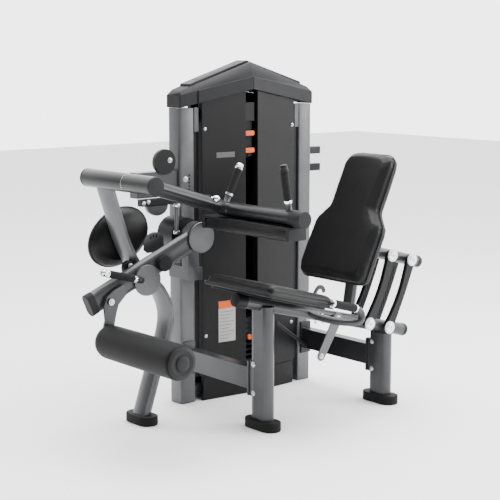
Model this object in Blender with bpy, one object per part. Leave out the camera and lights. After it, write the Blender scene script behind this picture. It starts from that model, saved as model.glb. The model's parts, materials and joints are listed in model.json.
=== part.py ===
"""Seated leg machine with a weight tower, in metres, +Z up.

X runs from the foot roller to the backrest, Y from the bench to the weight tower.
Sizes are written from the foot of the front seat post; the whole machine hangs on
one empty that puts the origin under the middle of its box.
"""
import math

import bmesh
import bpy
from mathutils import Vector

# ---- overall ----
BOX_CENTRE = (0.1293, 0.1485)     # middle of the machine's plan, from the front post
GAP = 0.0004                      # between pieces that touch
FIT = 0.0005                      # radial play of a pin in its hole
SIDES = 20                        # faces around a round tube

# ---- tower ----
TOWER_MID_X = 0.345
TOWER_MID_Y = 0.565
TOWER_WIDTH = 0.776
UPRIGHT_WIDTH = 0.079
UPRIGHT_DEPTH = 0.090
UPRIGHT_HEIGHT = 1.335
ROOF_SPREAD = 0.001               # how far the roof stands past the uprights
ROOF_FASCIA = 0.056
ROOF_RISE = 0.076                 # eave to middle, along the front edge
ROOF_PEAK = 1.532
PROW = 0.030                      # how far the middle of the front stands out
SHROUD_GAP = 0.038                # between upright and shroud
SHROUD_WALL = 0.004
SLOT_WIDTH = 0.070
SKIRT_HEIGHT = 0.110
BEAM_Z = (0.020, 0.070)           # tower base beam
TOP_BEAM_Z = (1.270, 1.330)

# ---- weight stack ----
PLATE_PITCH = 0.0254
RESTING_PLATES = 7
LIFTED_PLATES = 4
PLATE_WIDTH = 0.340
PLATE_DEPTH = 0.076
GUIDE_RADIUS = 0.010
GUIDE_SPACING = 0.230
CABLE_RADIUS = 0.003
PULLEY_RADIUS = 0.045
PULLEY_Z = 1.205

# ---- bench ----
REAR_POST_X = 0.700
POST_HALF = (0.0275, 0.0575)      # half sizes of the oval post, X and Y
FOOT_RADIUS = 0.045
FOOT_STRAIGHT = 0.051
FOOT_HEIGHT = 0.040
RAIL_RADIUS = 0.028
RAIL_HEIGHT = 0.534               # rail centre over the front post
RAIL_SLOPE = math.radians(14.65)
RAIL_ENDS = (-0.150, 0.840)       # X of both rail ends
FLOOR_BEAM_Z = (0.163, 0.258)
FLOOR_BEAM_HALF = 0.025
FLANGE = 0.008
SEAT_LENGTH = 0.385
SEAT_WIDTH = 0.440
SEAT_THICKNESS = 0.046
SEAT_FRONT = -0.172               # along the rail from the front post
BOARD_THICKNESS = 0.008

# ---- backrest and its four-bar ----
LINK_LOWER_X = (0.570, 0.695)
LINK_VECTOR = (0.137, 0.295)
LINK_THICKNESS = 0.020
LINK_INNER = 0.037                # distance of a link's inner face from the middle
LINK_END = 0.024
PIN_RADIUS = 0.008
CARRIAGE_RADIUS = 0.026
CARRIAGE_ENDS = (0.505, 0.930)
BACK_FOOT = (0.360, 0.635)        # lower edge of the backrest's front face
BACK_LEAN = math.radians(25.4)
BACK_HEIGHT = 0.550
BACK_THICKNESS = 0.080
BACK_HALF_LOW = 0.180
BACK_HALF_TOP = 0.118

# ---- knee axis and lever arm ----
KNEE = (-0.105, 0.796)
SHAFT_RADIUS = 0.018
ARM_TIP = (-0.660, 0.563)
ARM_NEAR_Y = 0.292
ARM_WIDTH = 0.046
ARM_DEPTH = 0.095
HUB_RADIUS = 0.066
CAM_RADIUS = 0.055
CAM_COVER_RADIUS = 0.075
DISH = (-0.392, 0.803)            # oval cover behind the leg
DISH_HALF = (0.155, 0.116)
DISH_TILT = math.radians(27.6)
LINK_BOLT = (-0.580, 0.576)
ROLLER_AXIS = (-0.600, 0.417)
ROLLER_RADIUS = 0.070
ROLLER_Y = (-0.240, 0.266)
AXLE_RADIUS = 0.010

# ---- front frame and thigh arm ----
LEG_Y = 0.400
LEG_HALF = (0.024, 0.048)
LEG_FOOT_X = -0.345
CROSS = (-0.525, 1.063)           # cross bar, the axis of the thigh arm
CROSS_RADIUS = 0.038
CROSS_Y = (0.022, 0.215, 0.517)   # near end, seam, far end
SPIGOT_RADIUS = 0.020
THIGH_TUBE_Y = (0.088, 0.146)       # at the cross bar, at the bend
THIGH_BAR_END = -0.349
THIGH_BAR = (-0.0775, 0.931)
THIGH_BAR_RADIUS = 0.031
THIGH_PAD_Y = (-0.303, 0.252)
THIGH_PAD_SIZE = (0.105, 0.060)

STEEL_GREY = (0.23, 0.24, 0.25, 1)
DARK_GREY = (0.09, 0.09, 0.10, 1)
BLACK = (0.02, 0.02, 0.022, 1)
CHROME = (0.85, 0.85, 0.86, 1)
ORANGE = (0.85, 0.22, 0.04, 1)


def clear_scene():
    for item in list(bpy.data.objects):
        bpy.data.objects.remove(item, do_unlink=True)


clear_scene()
machine = bpy.data.objects.new("machine_origin", None)
bpy.context.collection.objects.link(machine)
machine.location = (-BOX_CENTRE[0], -BOX_CENTRE[1], 0)


def make_material(name, colour, roughness, metallic):
    material = bpy.data.materials.new(name)
    material.use_nodes = True
    shader = material.node_tree.nodes["Principled BSDF"]
    shader.inputs["Base Color"].default_value = colour
    shader.inputs["Roughness"].default_value = roughness
    shader.inputs["Metallic"].default_value = metallic
    return material


frame_paint = make_material("frame_paint", STEEL_GREY, 0.35, 0.6)
dark_paint = make_material("dark_paint", DARK_GREY, 0.4, 0.4)
shroud_plastic = make_material("shroud_plastic", DARK_GREY, 0.5, 0.0)
black_plastic = make_material("black_plastic", BLACK, 0.5, 0.0)
rubber = make_material("rubber", BLACK, 0.8, 0.0)
upholstery = make_material("upholstery", BLACK, 0.6, 0.0)
bright_steel = make_material("bright_steel", CHROME, 0.15, 1.0)
plate_steel = make_material("plate_steel", DARK_GREY, 0.55, 0.7)
orange_plastic = make_material("orange_plastic", ORANGE, 0.4, 0.0)


# ---------------------------------------------------------------- helpers
def finish_mesh(name, bm, material, origin=(0, 0, 0)):
    bmesh.ops.recalc_face_normals(bm, faces=bm.faces)
    bmesh.ops.translate(bm, verts=bm.verts, vec=-Vector(origin))
    mesh = bpy.data.meshes.new(name)
    bm.to_mesh(mesh)
    bm.free()
    mesh.materials.append(material)
    mesh.shade_smooth()
    mesh.set_sharp_from_angle(angle=math.radians(35))
    item = bpy.data.objects.new(name, mesh)
    bpy.context.collection.objects.link(item)
    item.parent = machine
    item.location = origin
    return item


def ring_faces(bm, rings, closed=False):
    count = len(rings[0])
    pairs = list(zip(rings, rings[1:]))
    if closed:
        pairs.append((rings[-1], rings[0]))
    for low, high in pairs:
        for i in range(count):
            j = (i + 1) % count
            bm.faces.new((low[i], low[j], high[j], high[i]))


def stadium(half_x, half_y, steps=5):
    """Closed outline of a slot shape; the longer half size is the straight one."""
    radius = min(half_x, half_y)
    along_y = half_y >= half_x
    straight = abs(half_y - half_x)
    points = []
    for end in (0, 1):
        for i in range(steps + 1):
            angle = math.pi * (i / steps + end)
            px = radius * math.cos(angle)
            py = radius * math.sin(angle) + (straight if end == 0 else -straight)
            points.append((px, py) if along_y else (py, -px))
    return points


def ellipse(half_a, half_b, sides=SIDES):
    turn = math.tau / sides
    return [(half_a * math.cos(turn * i), half_b * math.sin(turn * i)) for i in range(sides)]


def rounded(x0, x1, y0, y1, radii, steps=4):
    """Rectangle outline; radii are for corners x0y0, x1y0, x1y1, x0y1."""
    corners = ((x0, y0, 1, 1, 180), (x1, y0, -1, 1, 270), (x1, y1, -1, -1, 0), (x0, y1, 1, -1, 90))
    points = []
    for (cx, cy, sx, sy, first), radius in zip(corners, radii):
        for i in range(steps + 1):
            angle = math.radians(first + 90 * i / steps)
            points.append((cx + sx * radius + radius * math.cos(angle),
                           cy + sy * radius + radius * math.sin(angle)))
    return points


def lift(point, axis, height):
    """A 2-D outline point placed in space, at a height along the axis."""
    a, b = point
    return {"X": (height, a, b), "Y": (a, height, b), "Z": (a, b, height)}[axis]


def prism(name, outline, axis, start, end, material, origin=(0, 0, 0)):
    bm = bmesh.new()
    rings = [[bm.verts.new(lift(p, axis, h)) for p in outline] for h in (start, end)]
    ring_faces(bm, rings)
    bm.faces.new(rings[0])
    bm.faces.new(rings[1])
    return finish_mesh(name, bm, material, origin)


def block(name, x, y, z, material, origin=(0, 0, 0)):
    outline = [(x[0], y[0]), (x[1], y[0]), (x[1], y[1]), (x[0], y[1])]
    return prism(name, outline, "Z", z[0], z[1], material, origin)


def sweep(name, points, outline, side, material, origin=(0, 0, 0)):
    """Outline carried along a path; its first direction stays close to side."""
    path = [Vector(p) for p in points]
    bm = bmesh.new()
    rings = []
    across = Vector(side)
    for i, place in enumerate(path):
        ahead = path[min(i + 1, len(path) - 1)] - place
        behind = place - path[max(i - 1, 0)]
        along = (ahead.normalized() + behind.normalized()).normalized()
        across = (across - along * across.dot(along)).normalized()
        third = along.cross(across)
        rings.append([bm.verts.new(place + across * a + third * b) for a, b in outline])
    ring_faces(bm, rings)
    bm.faces.new(rings[0])
    bm.faces.new(rings[-1])
    return finish_mesh(name, bm, material, origin)


def smooth_path(points, steps=5):
    """Catmull-Rom curve through hand-chosen points."""
    path = [Vector(p) for p in points]
    full = [path[0]] + path + [path[-1]]
    curve = []
    for a, b, c, d in zip(full, full[1:], full[2:], full[3:]):
        for i in range(steps):
            t = i / steps
            curve.append(0.5 * (2 * b + (c - a) * t + (2 * a - 5 * b + 4 * c - d) * t * t
                                + (3 * b - a - 3 * c + d) * t ** 3))
    return curve + [path[-1]]


def rod(name, start, end, radius, material, sides=SIDES, origin=(0, 0, 0)):
    direction = Vector(end) - Vector(start)
    side = (0, 1, 0) if abs(direction.y) < direction.length * 0.7 else (1, 0, 0)
    return sweep(name, (start, end), ellipse(radius, radius, sides), side, material, origin)


def turned(name, profile, x, z, material, sides=SIDES, bored=False, origin=(0, 0, 0)):
    """Round piece about a lateral axis; profile is (radius, Y) pairs."""
    bm = bmesh.new()
    rings = [[bm.verts.new((x + r * c, y, z + r * s)) for c, s in ellipse(1, 1, sides)]
             for r, y in profile]
    ring_faces(bm, rings, closed=bored)
    if not bored:
        bm.faces.new(rings[0])
        bm.faces.new(rings[-1])
    return finish_mesh(name, bm, material, origin)


def combine(target, helper, operation):
    """Adds or removes a helper shape, which stays out of the model."""
    step = target.modifiers.new(helper.name, "BOOLEAN")
    step.operation = operation
    step.object = helper
    helper.hide_render = True
    helper.display_type = "WIRE"
    return target


def add(target, *helpers):
    for helper in helpers:
        combine(target, helper, "UNION")
    return target


def cut(target, *helpers):
    for helper in helpers:
        combine(target, helper, "DIFFERENCE")
    return target


def mirrored_x(outline, middle):
    return [(2 * middle - a, b) for a, b in outline]


def rail_z(x):
    return RAIL_HEIGHT - x * math.tan(RAIL_SLOPE)


def rail_point(along, offset, y):
    """Place given by distance along the rail and height square to it."""
    c, s = math.cos(RAIL_SLOPE), math.sin(RAIL_SLOPE)
    return (along * c + offset * s, y, RAIL_HEIGHT - along * s + offset * c)


# ---------------------------------------------------------------- tower
tower_x0 = TOWER_MID_X - TOWER_WIDTH / 2
tower_x1 = TOWER_MID_X + TOWER_WIDTH / 2
tower_front = TOWER_MID_Y - UPRIGHT_DEPTH / 2
tower_back = TOWER_MID_Y + UPRIGHT_DEPTH / 2
inner_x0 = tower_x0 + UPRIGHT_WIDTH
inner_x1 = tower_x1 - UPRIGHT_WIDTH
shroud_x0 = inner_x0 + SHROUD_GAP
shroud_x1 = inner_x1 - SHROUD_GAP
slot_x0 = TOWER_MID_X - SLOT_WIDTH / 2
slot_x1 = TOWER_MID_X + SLOT_WIDTH / 2


def build_uprights():
    outline = rounded(tower_x0, inner_x0, tower_front, tower_back, (0.012, 0.006, 0.006, 0.014))
    prism("left_upright", outline, "Z", 0, UPRIGHT_HEIGHT, frame_paint)
    prism("right_upright", mirrored_x(outline, TOWER_MID_X), "Z", 0, UPRIGHT_HEIGHT, frame_paint)
    for name, z in (("base_beam", BEAM_Z), ("top_beam", TOP_BEAM_Z)):
        beam = block(name, (inner_x0 + GAP, inner_x1 - GAP), (0.542, 0.590), z, frame_paint)
        if name == "top_beam":
            window = block("pulley_window", (TOWER_MID_X - 0.02, TOWER_MID_X + 0.11), (0.552, 0.578),
                           (z[0] - 0.01, z[1] + 0.01), frame_paint)
            cut(beam, window)


def roof_height(x):
    """Height of the roof's lower front edge above the eave."""
    share = 1 - abs(x - TOWER_MID_X) / (TOWER_WIDTH / 2)
    return UPRIGHT_HEIGHT + ROOF_RISE * max(share, 0)


def prow_y(x, spread=0.0):
    """Front face of the shroud, which stands out towards the middle."""
    share = 1 - abs(x - TOWER_MID_X) / (TOWER_WIDTH / 2)
    return tower_front - PROW * max(share, 0) - spread


def build_roof():
    x0, x1 = tower_x0 - ROOF_SPREAD, tower_x1 + ROOF_SPREAD
    rows = []
    bm = bmesh.new()
    for inset, rise, level in ((0, 0, 0), (0, ROOF_FASCIA, 0), (0.018, ROOF_FASCIA + 0.02, 1)):
        row = []
        for x, back in ((x0 + inset, 0), (TOWER_MID_X, 0), (x1 - inset, 0),
                        (x1 - inset, 1), (TOWER_MID_X, 1), (x0 + inset, 1)):
            front_y = prow_y(x, 0.006) + inset
            y = 2 * TOWER_MID_Y - front_y if back else front_y
            z = roof_height(x) + GAP + rise
            if level and x == TOWER_MID_X:
                z = ROOF_PEAK
            row.append(bm.verts.new((x, y, z)))
        rows.append(row)
    ring_faces(bm, rows)
    for row in (rows[0], rows[-1]):
        bm.faces.new((row[0], row[1], row[4], row[5]))
        bm.faces.new((row[1], row[2], row[3], row[4]))
    finish_mesh("roof_cap", bm, shroud_plastic)


def sheet_panel(name, plan, z0, z1_of, material):
    """Upright sheet whose top follows a height rule; plan is its closed outline."""
    bm = bmesh.new()
    low = [bm.verts.new((x, y, z0)) for x, y in plan]
    high = [bm.verts.new((x, y, z1_of(x) - GAP)) for x, y in plan]
    ring_faces(bm, [low, high])
    bm.faces.new(low)
    bm.faces.new(high)
    return finish_mesh(name, bm, material)


def build_shrouds():
    wall = SHROUD_WALL
    left = [(shroud_x0, tower_front + 0.02), (shroud_x0, prow_y(shroud_x0)),
            (slot_x0, prow_y(slot_x0)), (slot_x0, tower_front + 0.006),
            (slot_x0 - wall, tower_front + 0.006), (slot_x0 - wall, prow_y(slot_x0) + wall),
            (shroud_x0 + wall, prow_y(shroud_x0) + wall), (shroud_x0 + wall, tower_front + 0.02)]
    bottom = SKIRT_HEIGHT + GAP
    sheet_panel("shroud_left", left, bottom, roof_height, shroud_plastic)
    sheet_panel("shroud_right", mirrored_x(left, TOWER_MID_X), bottom, roof_height, shroud_plastic)
    front = [(shroud_x0, prow_y(shroud_x0)), (TOWER_MID_X, prow_y(TOWER_MID_X)),
             (shroud_x1, prow_y(shroud_x1)), (shroud_x1, tower_front + 0.006)]
    skirt = front + [(shroud_x0, tower_front + 0.006)]
    prism("base_skirt", skirt, "Z", 0, SKIRT_HEIGHT, shroud_plastic)
    rear = []
    for x, y in ((shroud_x0, tower_front + 0.071), (shroud_x0, prow_y(shroud_x0)),
                 (TOWER_MID_X, prow_y(TOWER_MID_X)), (shroud_x1, prow_y(shroud_x1)),
                 (shroud_x1, tower_front + 0.071)):
        rear.append((x, 2 * TOWER_MID_Y - y if y < tower_front + 0.05 else y + 0.002))
    inner = [(shroud_x1 - wall, rear[-1][1]), (shroud_x1 - wall, rear[3][1] - wall),
             (TOWER_MID_X, rear[2][1] - wall), (shroud_x0 + wall, rear[1][1] - wall),
             (shroud_x0 + wall, rear[0][1])]
    sheet_panel("shroud_rear", rear + inner, 0, roof_height, shroud_plastic)


def build_stack():
    top_of_base = BEAM_Z[1] + GAP
    split = top_of_base + RESTING_PLATES * PLATE_PITCH
    top = split + LIFTED_PLATES * PLATE_PITCH
    half_x, half_y = PLATE_WIDTH / 2, PLATE_DEPTH / 2
    plan_x = (TOWER_MID_X - half_x, TOWER_MID_X + half_x)
    plan_y = (TOWER_MID_Y - half_y + 0.002, TOWER_MID_Y + half_y)
    for name, low, high in (("resting_plates", top_of_base, split - GAP), ("lifted_plates", split, top)):
        plates = block(name, plan_x, plan_y, (low, high), plate_steel)
        for side in (-1, 1):
            x = TOWER_MID_X + side * GUIDE_SPACING / 2
            hole = rod(name + "_hole_%d" % (side + 1), (x, TOWER_MID_Y, low - 0.01),
                       (x, TOWER_MID_Y, high + 0.01), GUIDE_RADIUS + 2 * FIT, plate_steel, 12)
            cut(plates, hole)
        middle_start = (TOWER_MID_X, TOWER_MID_Y, top_of_base + 0.03)
        if name == "resting_plates":
            cut(plates, rod("selector_bore", (TOWER_MID_X, TOWER_MID_Y, low - 0.01),
                            (TOWER_MID_X, TOWER_MID_Y, high + 0.01), 0.014, plate_steel, 12))
        else:
            add(plates, rod("selector_rod", middle_start, (TOWER_MID_X, TOWER_MID_Y, low + 0.01),
                            0.011, plate_steel, 12),
                rod("stack_head", (TOWER_MID_X, TOWER_MID_Y, high - 0.01),
                    (TOWER_MID_X, TOWER_MID_Y, high + 0.030), 0.016, plate_steel, 12))
            pin_z = split + PLATE_PITCH / 2
            pin_in = TOWER_MID_Y - half_y + 0.002
            cut(plates, rod("pin_hole", (TOWER_MID_X, pin_in - 0.01, pin_z),
                            (TOWER_MID_X, pin_in + 0.026, pin_z), 0.005 + FIT, plate_steel, 12))
            pin = [(0.005, pin_in + 0.025), (0.005, pin_in - 0.008), (0.012, pin_in - 0.009),
                   (0.014, pin_in - 0.020), (0.011, pin_in - 0.024)]
            turned("selector_pin", pin, TOWER_MID_X, pin_z, orange_plastic, 12,
                   origin=(TOWER_MID_X, pin_in, pin_z))
    for name, side in (("guide_rod_left", -1), ("guide_rod_right", 1)):
        x = TOWER_MID_X + side * GUIDE_SPACING / 2
        rod(name, (x, TOWER_MID_Y, top_of_base), (x, TOWER_MID_Y, TOP_BEAM_Z[0] - GAP),
            GUIDE_RADIUS, bright_steel, 12)
    rod("stack_cable", (TOWER_MID_X, TOWER_MID_Y, top + 0.030 + GAP),
        (TOWER_MID_X, TOWER_MID_Y, PULLEY_Z), CABLE_RADIUS, black_plastic, 8)
    return split, top


def build_top_pulley():
    x = TOWER_MID_X + PULLEY_RADIUS + CABLE_RADIUS
    half = 0.009
    rim = PULLEY_RADIUS + 0.006
    profile = [(0.0085, TOWER_MID_Y - half), (rim, TOWER_MID_Y - half),
               (PULLEY_RADIUS - 0.002, TOWER_MID_Y), (rim, TOWER_MID_Y + half),
               (0.0085, TOWER_MID_Y + half)]
    profile[2:3] = [(rim, TOWER_MID_Y - half + 0.002), (PULLEY_RADIUS - 0.001, TOWER_MID_Y - 0.003),
                    (PULLEY_RADIUS - 0.001, TOWER_MID_Y + 0.003), (rim, TOWER_MID_Y + half - 0.002)]
    turned("top_pulley", profile, x, PULLEY_Z, black_plastic, bored=True,
           origin=(x, TOWER_MID_Y, PULLEY_Z))
    cheeks = []
    for number, y in enumerate((TOWER_MID_Y - half - 0.0055, TOWER_MID_Y + half + 0.0015)):
        cheeks.append(block("cheek_%d" % number, (x - 0.018, x + 0.018), (y, y + 0.004),
                            (PULLEY_Z - 0.018, TOP_BEAM_Z[0] - GAP), frame_paint))
    axle = rod("pulley_axle_core", (x, cheeks[0].data.vertices[0].co.y + 0.001, PULLEY_Z),
               (x, TOWER_MID_Y + half + 0.004, PULLEY_Z), 0.008, bright_steel, 12)
    bracket = block("pulley_bracket", (x - 0.018, x + 0.018),
                    (TOWER_MID_Y - half - 0.0055, TOWER_MID_Y + half + 0.0055),
                    (TOP_BEAM_Z[0] - 0.006, TOP_BEAM_Z[0] - GAP), frame_paint)
    add(bracket, cheeks[0], cheeks[1], axle)
    cover = block("pulley_cover", (slot_x0 + 0.004, slot_x1 - 0.014), (0.5005, 0.5385),
                  (1.268, 1.352), dark_paint)
    add(cover, block("selector_guide", (slot_x0 + 0.006, slot_x1 - 0.016), (0.5145, 0.5185),
                     (1.105, 1.275), dark_paint))
    for name, z in (("addon_selector_upper", 1.212), ("addon_selector_lower", 1.134)):
        outline = rounded(slot_x0 + 0.004, slot_x1 - 0.014, z - 0.011, z + 0.011, (0.006,) * 4, 3)
        prism(name, outline, "Y", 0.4985, 0.5140, orange_plastic,
              origin=(TOWER_MID_X, 0.506, z))


def build_accessory_bracket():
    x0 = tower_x1 + GAP
    plate = block("accessory_bracket", (x0, x0 + 0.012), (0.540, 0.590), (1.010, 1.130), dark_paint)
    for number, z in enumerate((1.012, 1.093)):
        add(plate, block("prong_%d" % number, (x0 + 0.010, x0 + 0.085), (0.548, 0.582),
                         (z, z + 0.034), dark_paint))


# ---------------------------------------------------------------- bench
def rail_core(name, radius, x_ends=RAIL_ENDS):
    return rod(name, (x_ends[0], 0, rail_z(x_ends[0])), (x_ends[1], 0, rail_z(x_ends[1])),
               radius, frame_paint)


def build_post(name, x, top):
    outline = [(x + a, b) for a, b in stadium(*POST_HALF)]
    post = prism(name, outline, "Z", FOOT_HEIGHT + GAP, top, frame_paint)
    pad = block(name + "_pad", (x - 0.024, x + 0.024), (0.030, POST_HALF[1] + 0.004),
                (FLOOR_BEAM_Z[0] - 0.028, min(FLOOR_BEAM_Z[1] + 0.030, top - 0.004)), frame_paint)
    add(post, pad)
    if name == "rear_post":
        add(post, block("rear_saddle", (x - 0.022, x + 0.022), (-0.026, 0.026),
                        (top - 0.02, rail_z(x)), frame_paint))
    cut(post, rail_core(name + "_seat", RAIL_RADIUS + GAP))
    foot = [(x + a, b) for a, b in stadium(FOOT_RADIUS, FOOT_RADIUS + FOOT_STRAIGHT, 6)]
    prism(name.replace("post", "foot"), foot, "Z", 0, FOOT_HEIGHT, rubber)


def build_floor_beam(name, x, material):
    y0 = POST_HALF[1] + 0.004 + GAP
    y1 = tower_front - GAP
    beam = block(name, (x - FLOOR_BEAM_HALF, x + FLOOR_BEAM_HALF), (y0 + 0.002, y1 - 0.002),
                 FLOOR_BEAM_Z, material)
    flange_z = (FLOOR_BEAM_Z[0] - 0.028, FLOOR_BEAM_Z[1] + 0.030)
    for number, (a, b) in enumerate(((y0, y0 + FLANGE), (y1 - FLANGE, y1))):
        add(beam, block(name + "_flange_%d" % number, (x - 0.030, x + 0.030), (a, b),
                        flange_z, material))


def build_bench_frame():
    build_post("front_post", 0, RAIL_HEIGHT - 0.004)
    build_post("rear_post", REAR_POST_X, rail_z(LINK_LOWER_X[1]) - LINK_END - 0.004)
    build_floor_beam("front_floor_beam", 0, frame_paint)
    build_floor_beam("rear_floor_beam", REAR_POST_X, dark_paint)
    brace_end = REAR_POST_X - FLOOR_BEAM_HALF - GAP
    strip = [(0.487, 0.323), (0.478, 0.308), (brace_end, 0.164), (brace_end, 0.186)]
    prism("diagonal_brace", strip, "Y", 0.474, 0.480, frame_paint)
    rail = rail_core("seat_rail", RAIL_RADIUS)
    for number, x in enumerate(LINK_LOWER_X):
        cut(rail, rod("rail_pin_hole_%d" % number, (x, -0.05, rail_z(x)), (x, 0.05, rail_z(x)),
                      PIN_RADIUS + FIT, frame_paint, 12))
    x = 0.392
    add(rail, rod("lever_boss", (x, -0.020, rail_z(x)), (x, -0.052, rail_z(x)), 0.006,
                  frame_paint, 12),
        rod("lever_spacer", (x, -0.018, rail_z(x)), (x, -0.036, rail_z(x)), 0.012, frame_paint, 12))


def build_release_lever():
    x = 0.392
    z = rail_z(x)
    length, half = 0.183, 0.027
    outline = []
    for step in range(9):
        angle = math.radians(90 + 180 * step / 8)
        outline.append((half * math.cos(angle), half * math.sin(angle)))
    for step in range(9):
        angle = math.radians(-90 + 180 * step / 8)
        outline.append((length + half * 0.8 * math.cos(angle), half * 0.8 * math.sin(angle)))
    # the lever points down and towards the foot roller
    turn = math.radians(238.2)
    c, s = math.cos(turn), math.sin(turn)
    placed = [(x + a * c - b * s, z + a * s + b * c) for a, b in outline]
    lever = prism("back_release_lever", placed, "Y", -0.0425, -0.0365, frame_paint,
                  origin=(x, -0.0395, z))
    cut(lever, rod("lever_hole", (x, -0.06, z), (x, -0.03, z), 0.006 + FIT, frame_paint, 12))
    tip = (x + length * c, z + length * s)
    cut(lever, rod("lever_eye", (tip[0], -0.06, tip[1]), (tip[0], -0.03, tip[1]), 0.005,
                   frame_paint, 12))


def rail_slab(name, s0, s1, low, high, half_width, radius, material):
    """Flat piece that lies along the rail, with round plan corners."""
    outline = rounded(s0, s1, -half_width, half_width, (radius,) * 4, 5)
    bm = bmesh.new()
    rings = [[bm.verts.new(rail_point(a, level, b)) for a, b in outline] for level in (low, high)]
    ring_faces(bm, rings)
    bm.faces.new(rings[0])
    bm.faces.new(rings[1])
    return finish_mesh(name, bm, material)


def build_seat():
    board_low = RAIL_RADIUS + GAP
    board_top = board_low + BOARD_THICKNESS
    end = SEAT_FRONT + SEAT_LENGTH
    rail_slab("seat_board", SEAT_FRONT + 0.02, end - 0.02, board_low, board_top,
              SEAT_WIDTH / 2 - 0.03, 0.03, black_plastic)
    rail_slab("seat_pad", SEAT_FRONT, end, board_top + GAP, board_top + GAP + SEAT_THICKNESS,
              SEAT_WIDTH / 2, 0.035, upholstery)


def build_handles():
    y = SEAT_WIDTH / 2 + 0.028
    inner = RAIL_RADIUS - 0.006
    route = [(0.165, y, 0.556), (0.270, y, 0.5265), (0.306, y, 0.5145), (0.332, y, 0.494),
             (0.330, y, 0.464), (0.306, y - 0.020, 0.454), (0.274, y - 0.080, 0.452),
             (0.252, inner + 0.050, 0.458), (0.246, inner, rail_z(0.246))]
    for name, side in (("seat_handle_near", -1), ("seat_handle_far", 1)):
        path = smooth_path([(x, side * yy, z) for x, yy, z in route], 3)
        handle = sweep(name, path, ellipse(0.0155, 0.0155, 12), (0, 0, 1), frame_paint)
        cut(handle, rail_core(name + "_seat", RAIL_RADIUS + GAP))


def link_outline(x, z, bow):
    """Bowed bar between two pivots, slimmer at its middle."""
    far = (x + LINK_VECTOR[0], z + LINK_VECTOR[1])
    length = math.hypot(*LINK_VECTOR)
    along = (LINK_VECTOR[0] / length, LINK_VECTOR[1] / length)
    across = (along[1], -along[0])
    steps = 8
    sides = {1: [], -1: []}
    for side in (1, -1):
        for i in range(1, steps):
            t = i / steps
            half = LINK_END - 0.007 * math.sin(math.pi * t)
            shift = bow * math.sin(math.pi * t) + side * half
            sides[side].append((x + along[0] * length * t + across[0] * shift,
                                z + along[1] * length * t + across[1] * shift))
    base = math.atan2(along[1], along[0])

    def cap(centre, first):
        return [(centre[0] + LINK_END * math.cos(first + math.pi * i / 6),
                 centre[1] + LINK_END * math.sin(first + math.pi * i / 6)) for i in range(7)]

    right = sides[1]
    left = sides[-1][::-1]
    return right + cap(far, base - math.pi / 2) + left + cap((x, z), base + math.pi / 2)


def build_links():
    for place, x in zip(("front", "rear"), LINK_LOWER_X):
        z = rail_z(x)
        upper = (x + LINK_VECTOR[0], z + LINK_VECTOR[1])
        outline = link_outline(x, z, 0.012)
        for label, side in (("near", -1), ("far", 1)):
            y0, y1 = sorted((side * LINK_INNER, side * (LINK_INNER + LINK_THICKNESS)))
            link = prism("link_%s_%s" % (place, label), outline, "Y", y0, y1, black_plastic,
                         origin=(x, 0, z))
            for level, (hx, hz) in enumerate(((x, z), upper)):
                cut(link, rod("hole_%s_%s_%d" % (place, label, level), (hx, y0 - 0.01, hz),
                              (hx, y1 + 0.01, hz), PIN_RADIUS + FIT, black_plastic, 12))
        face = LINK_INNER + LINK_THICKNESS + GAP
        head = 0.024
        for level, (px, pz) in (("lower", (x, z)), ("upper", upper)):
            profile = [(head - 0.006, -face - 0.009), (head, -face - 0.005), (head, -face),
                       (PIN_RADIUS, -face), (PIN_RADIUS, face), (head, face),
                       (head, face + 0.005), (head - 0.006, face + 0.009)]
            turned("pivot_pin_%s_%s" % (level, place), profile, px, pz, bright_steel, 16,
                   origin=(px, 0, pz))


def back_point(up, out, y):
    """Place by height along the backrest and depth behind its front face."""
    c, s = math.cos(BACK_LEAN), math.sin(BACK_LEAN)
    return (BACK_FOOT[0] + up * s + out * c, y, BACK_FOOT[1] + up * c - out * s)


def build_carriage():
    front_x, front_z = LINK_LOWER_X[0] + LINK_VECTOR[0], rail_z(LINK_LOWER_X[0]) + LINK_VECTOR[1]
    slope = math.tan(RAIL_SLOPE)

    def tube_z(x):
        return front_z - (x - front_x) * slope

    carriage = rod("back_carriage", (CARRIAGE_ENDS[0], 0, tube_z(CARRIAGE_ENDS[0])),
                   (CARRIAGE_ENDS[1], 0, tube_z(CARRIAGE_ENDS[1])), CARRIAGE_RADIUS, frame_paint)
    depth = BACK_THICKNESS + 0.0195 + GAP
    route = [(0.497, 0, 0.480), (0.514, 0, 0.600), back_point(0.11, depth + 0.014, 0),
             back_point(0.20, depth + 0.001, 0), back_point(0.40, depth + 0.001, 0)]
    for number, x in enumerate(LINK_LOWER_X):
        px = x + LINK_VECTOR[0]
        pz = rail_z(x) + LINK_VECTOR[1]
        cut(carriage, rod("carriage_hole_%d" % number, (px, -0.05, pz), (px, 0.05, pz),
                          PIN_RADIUS + FIT, frame_paint, 12))
    add(carriage, sweep("spine", smooth_path(route, 3), stadium(0.018, 0.031, 4), (1, 0, 0),
                        frame_paint))


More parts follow.
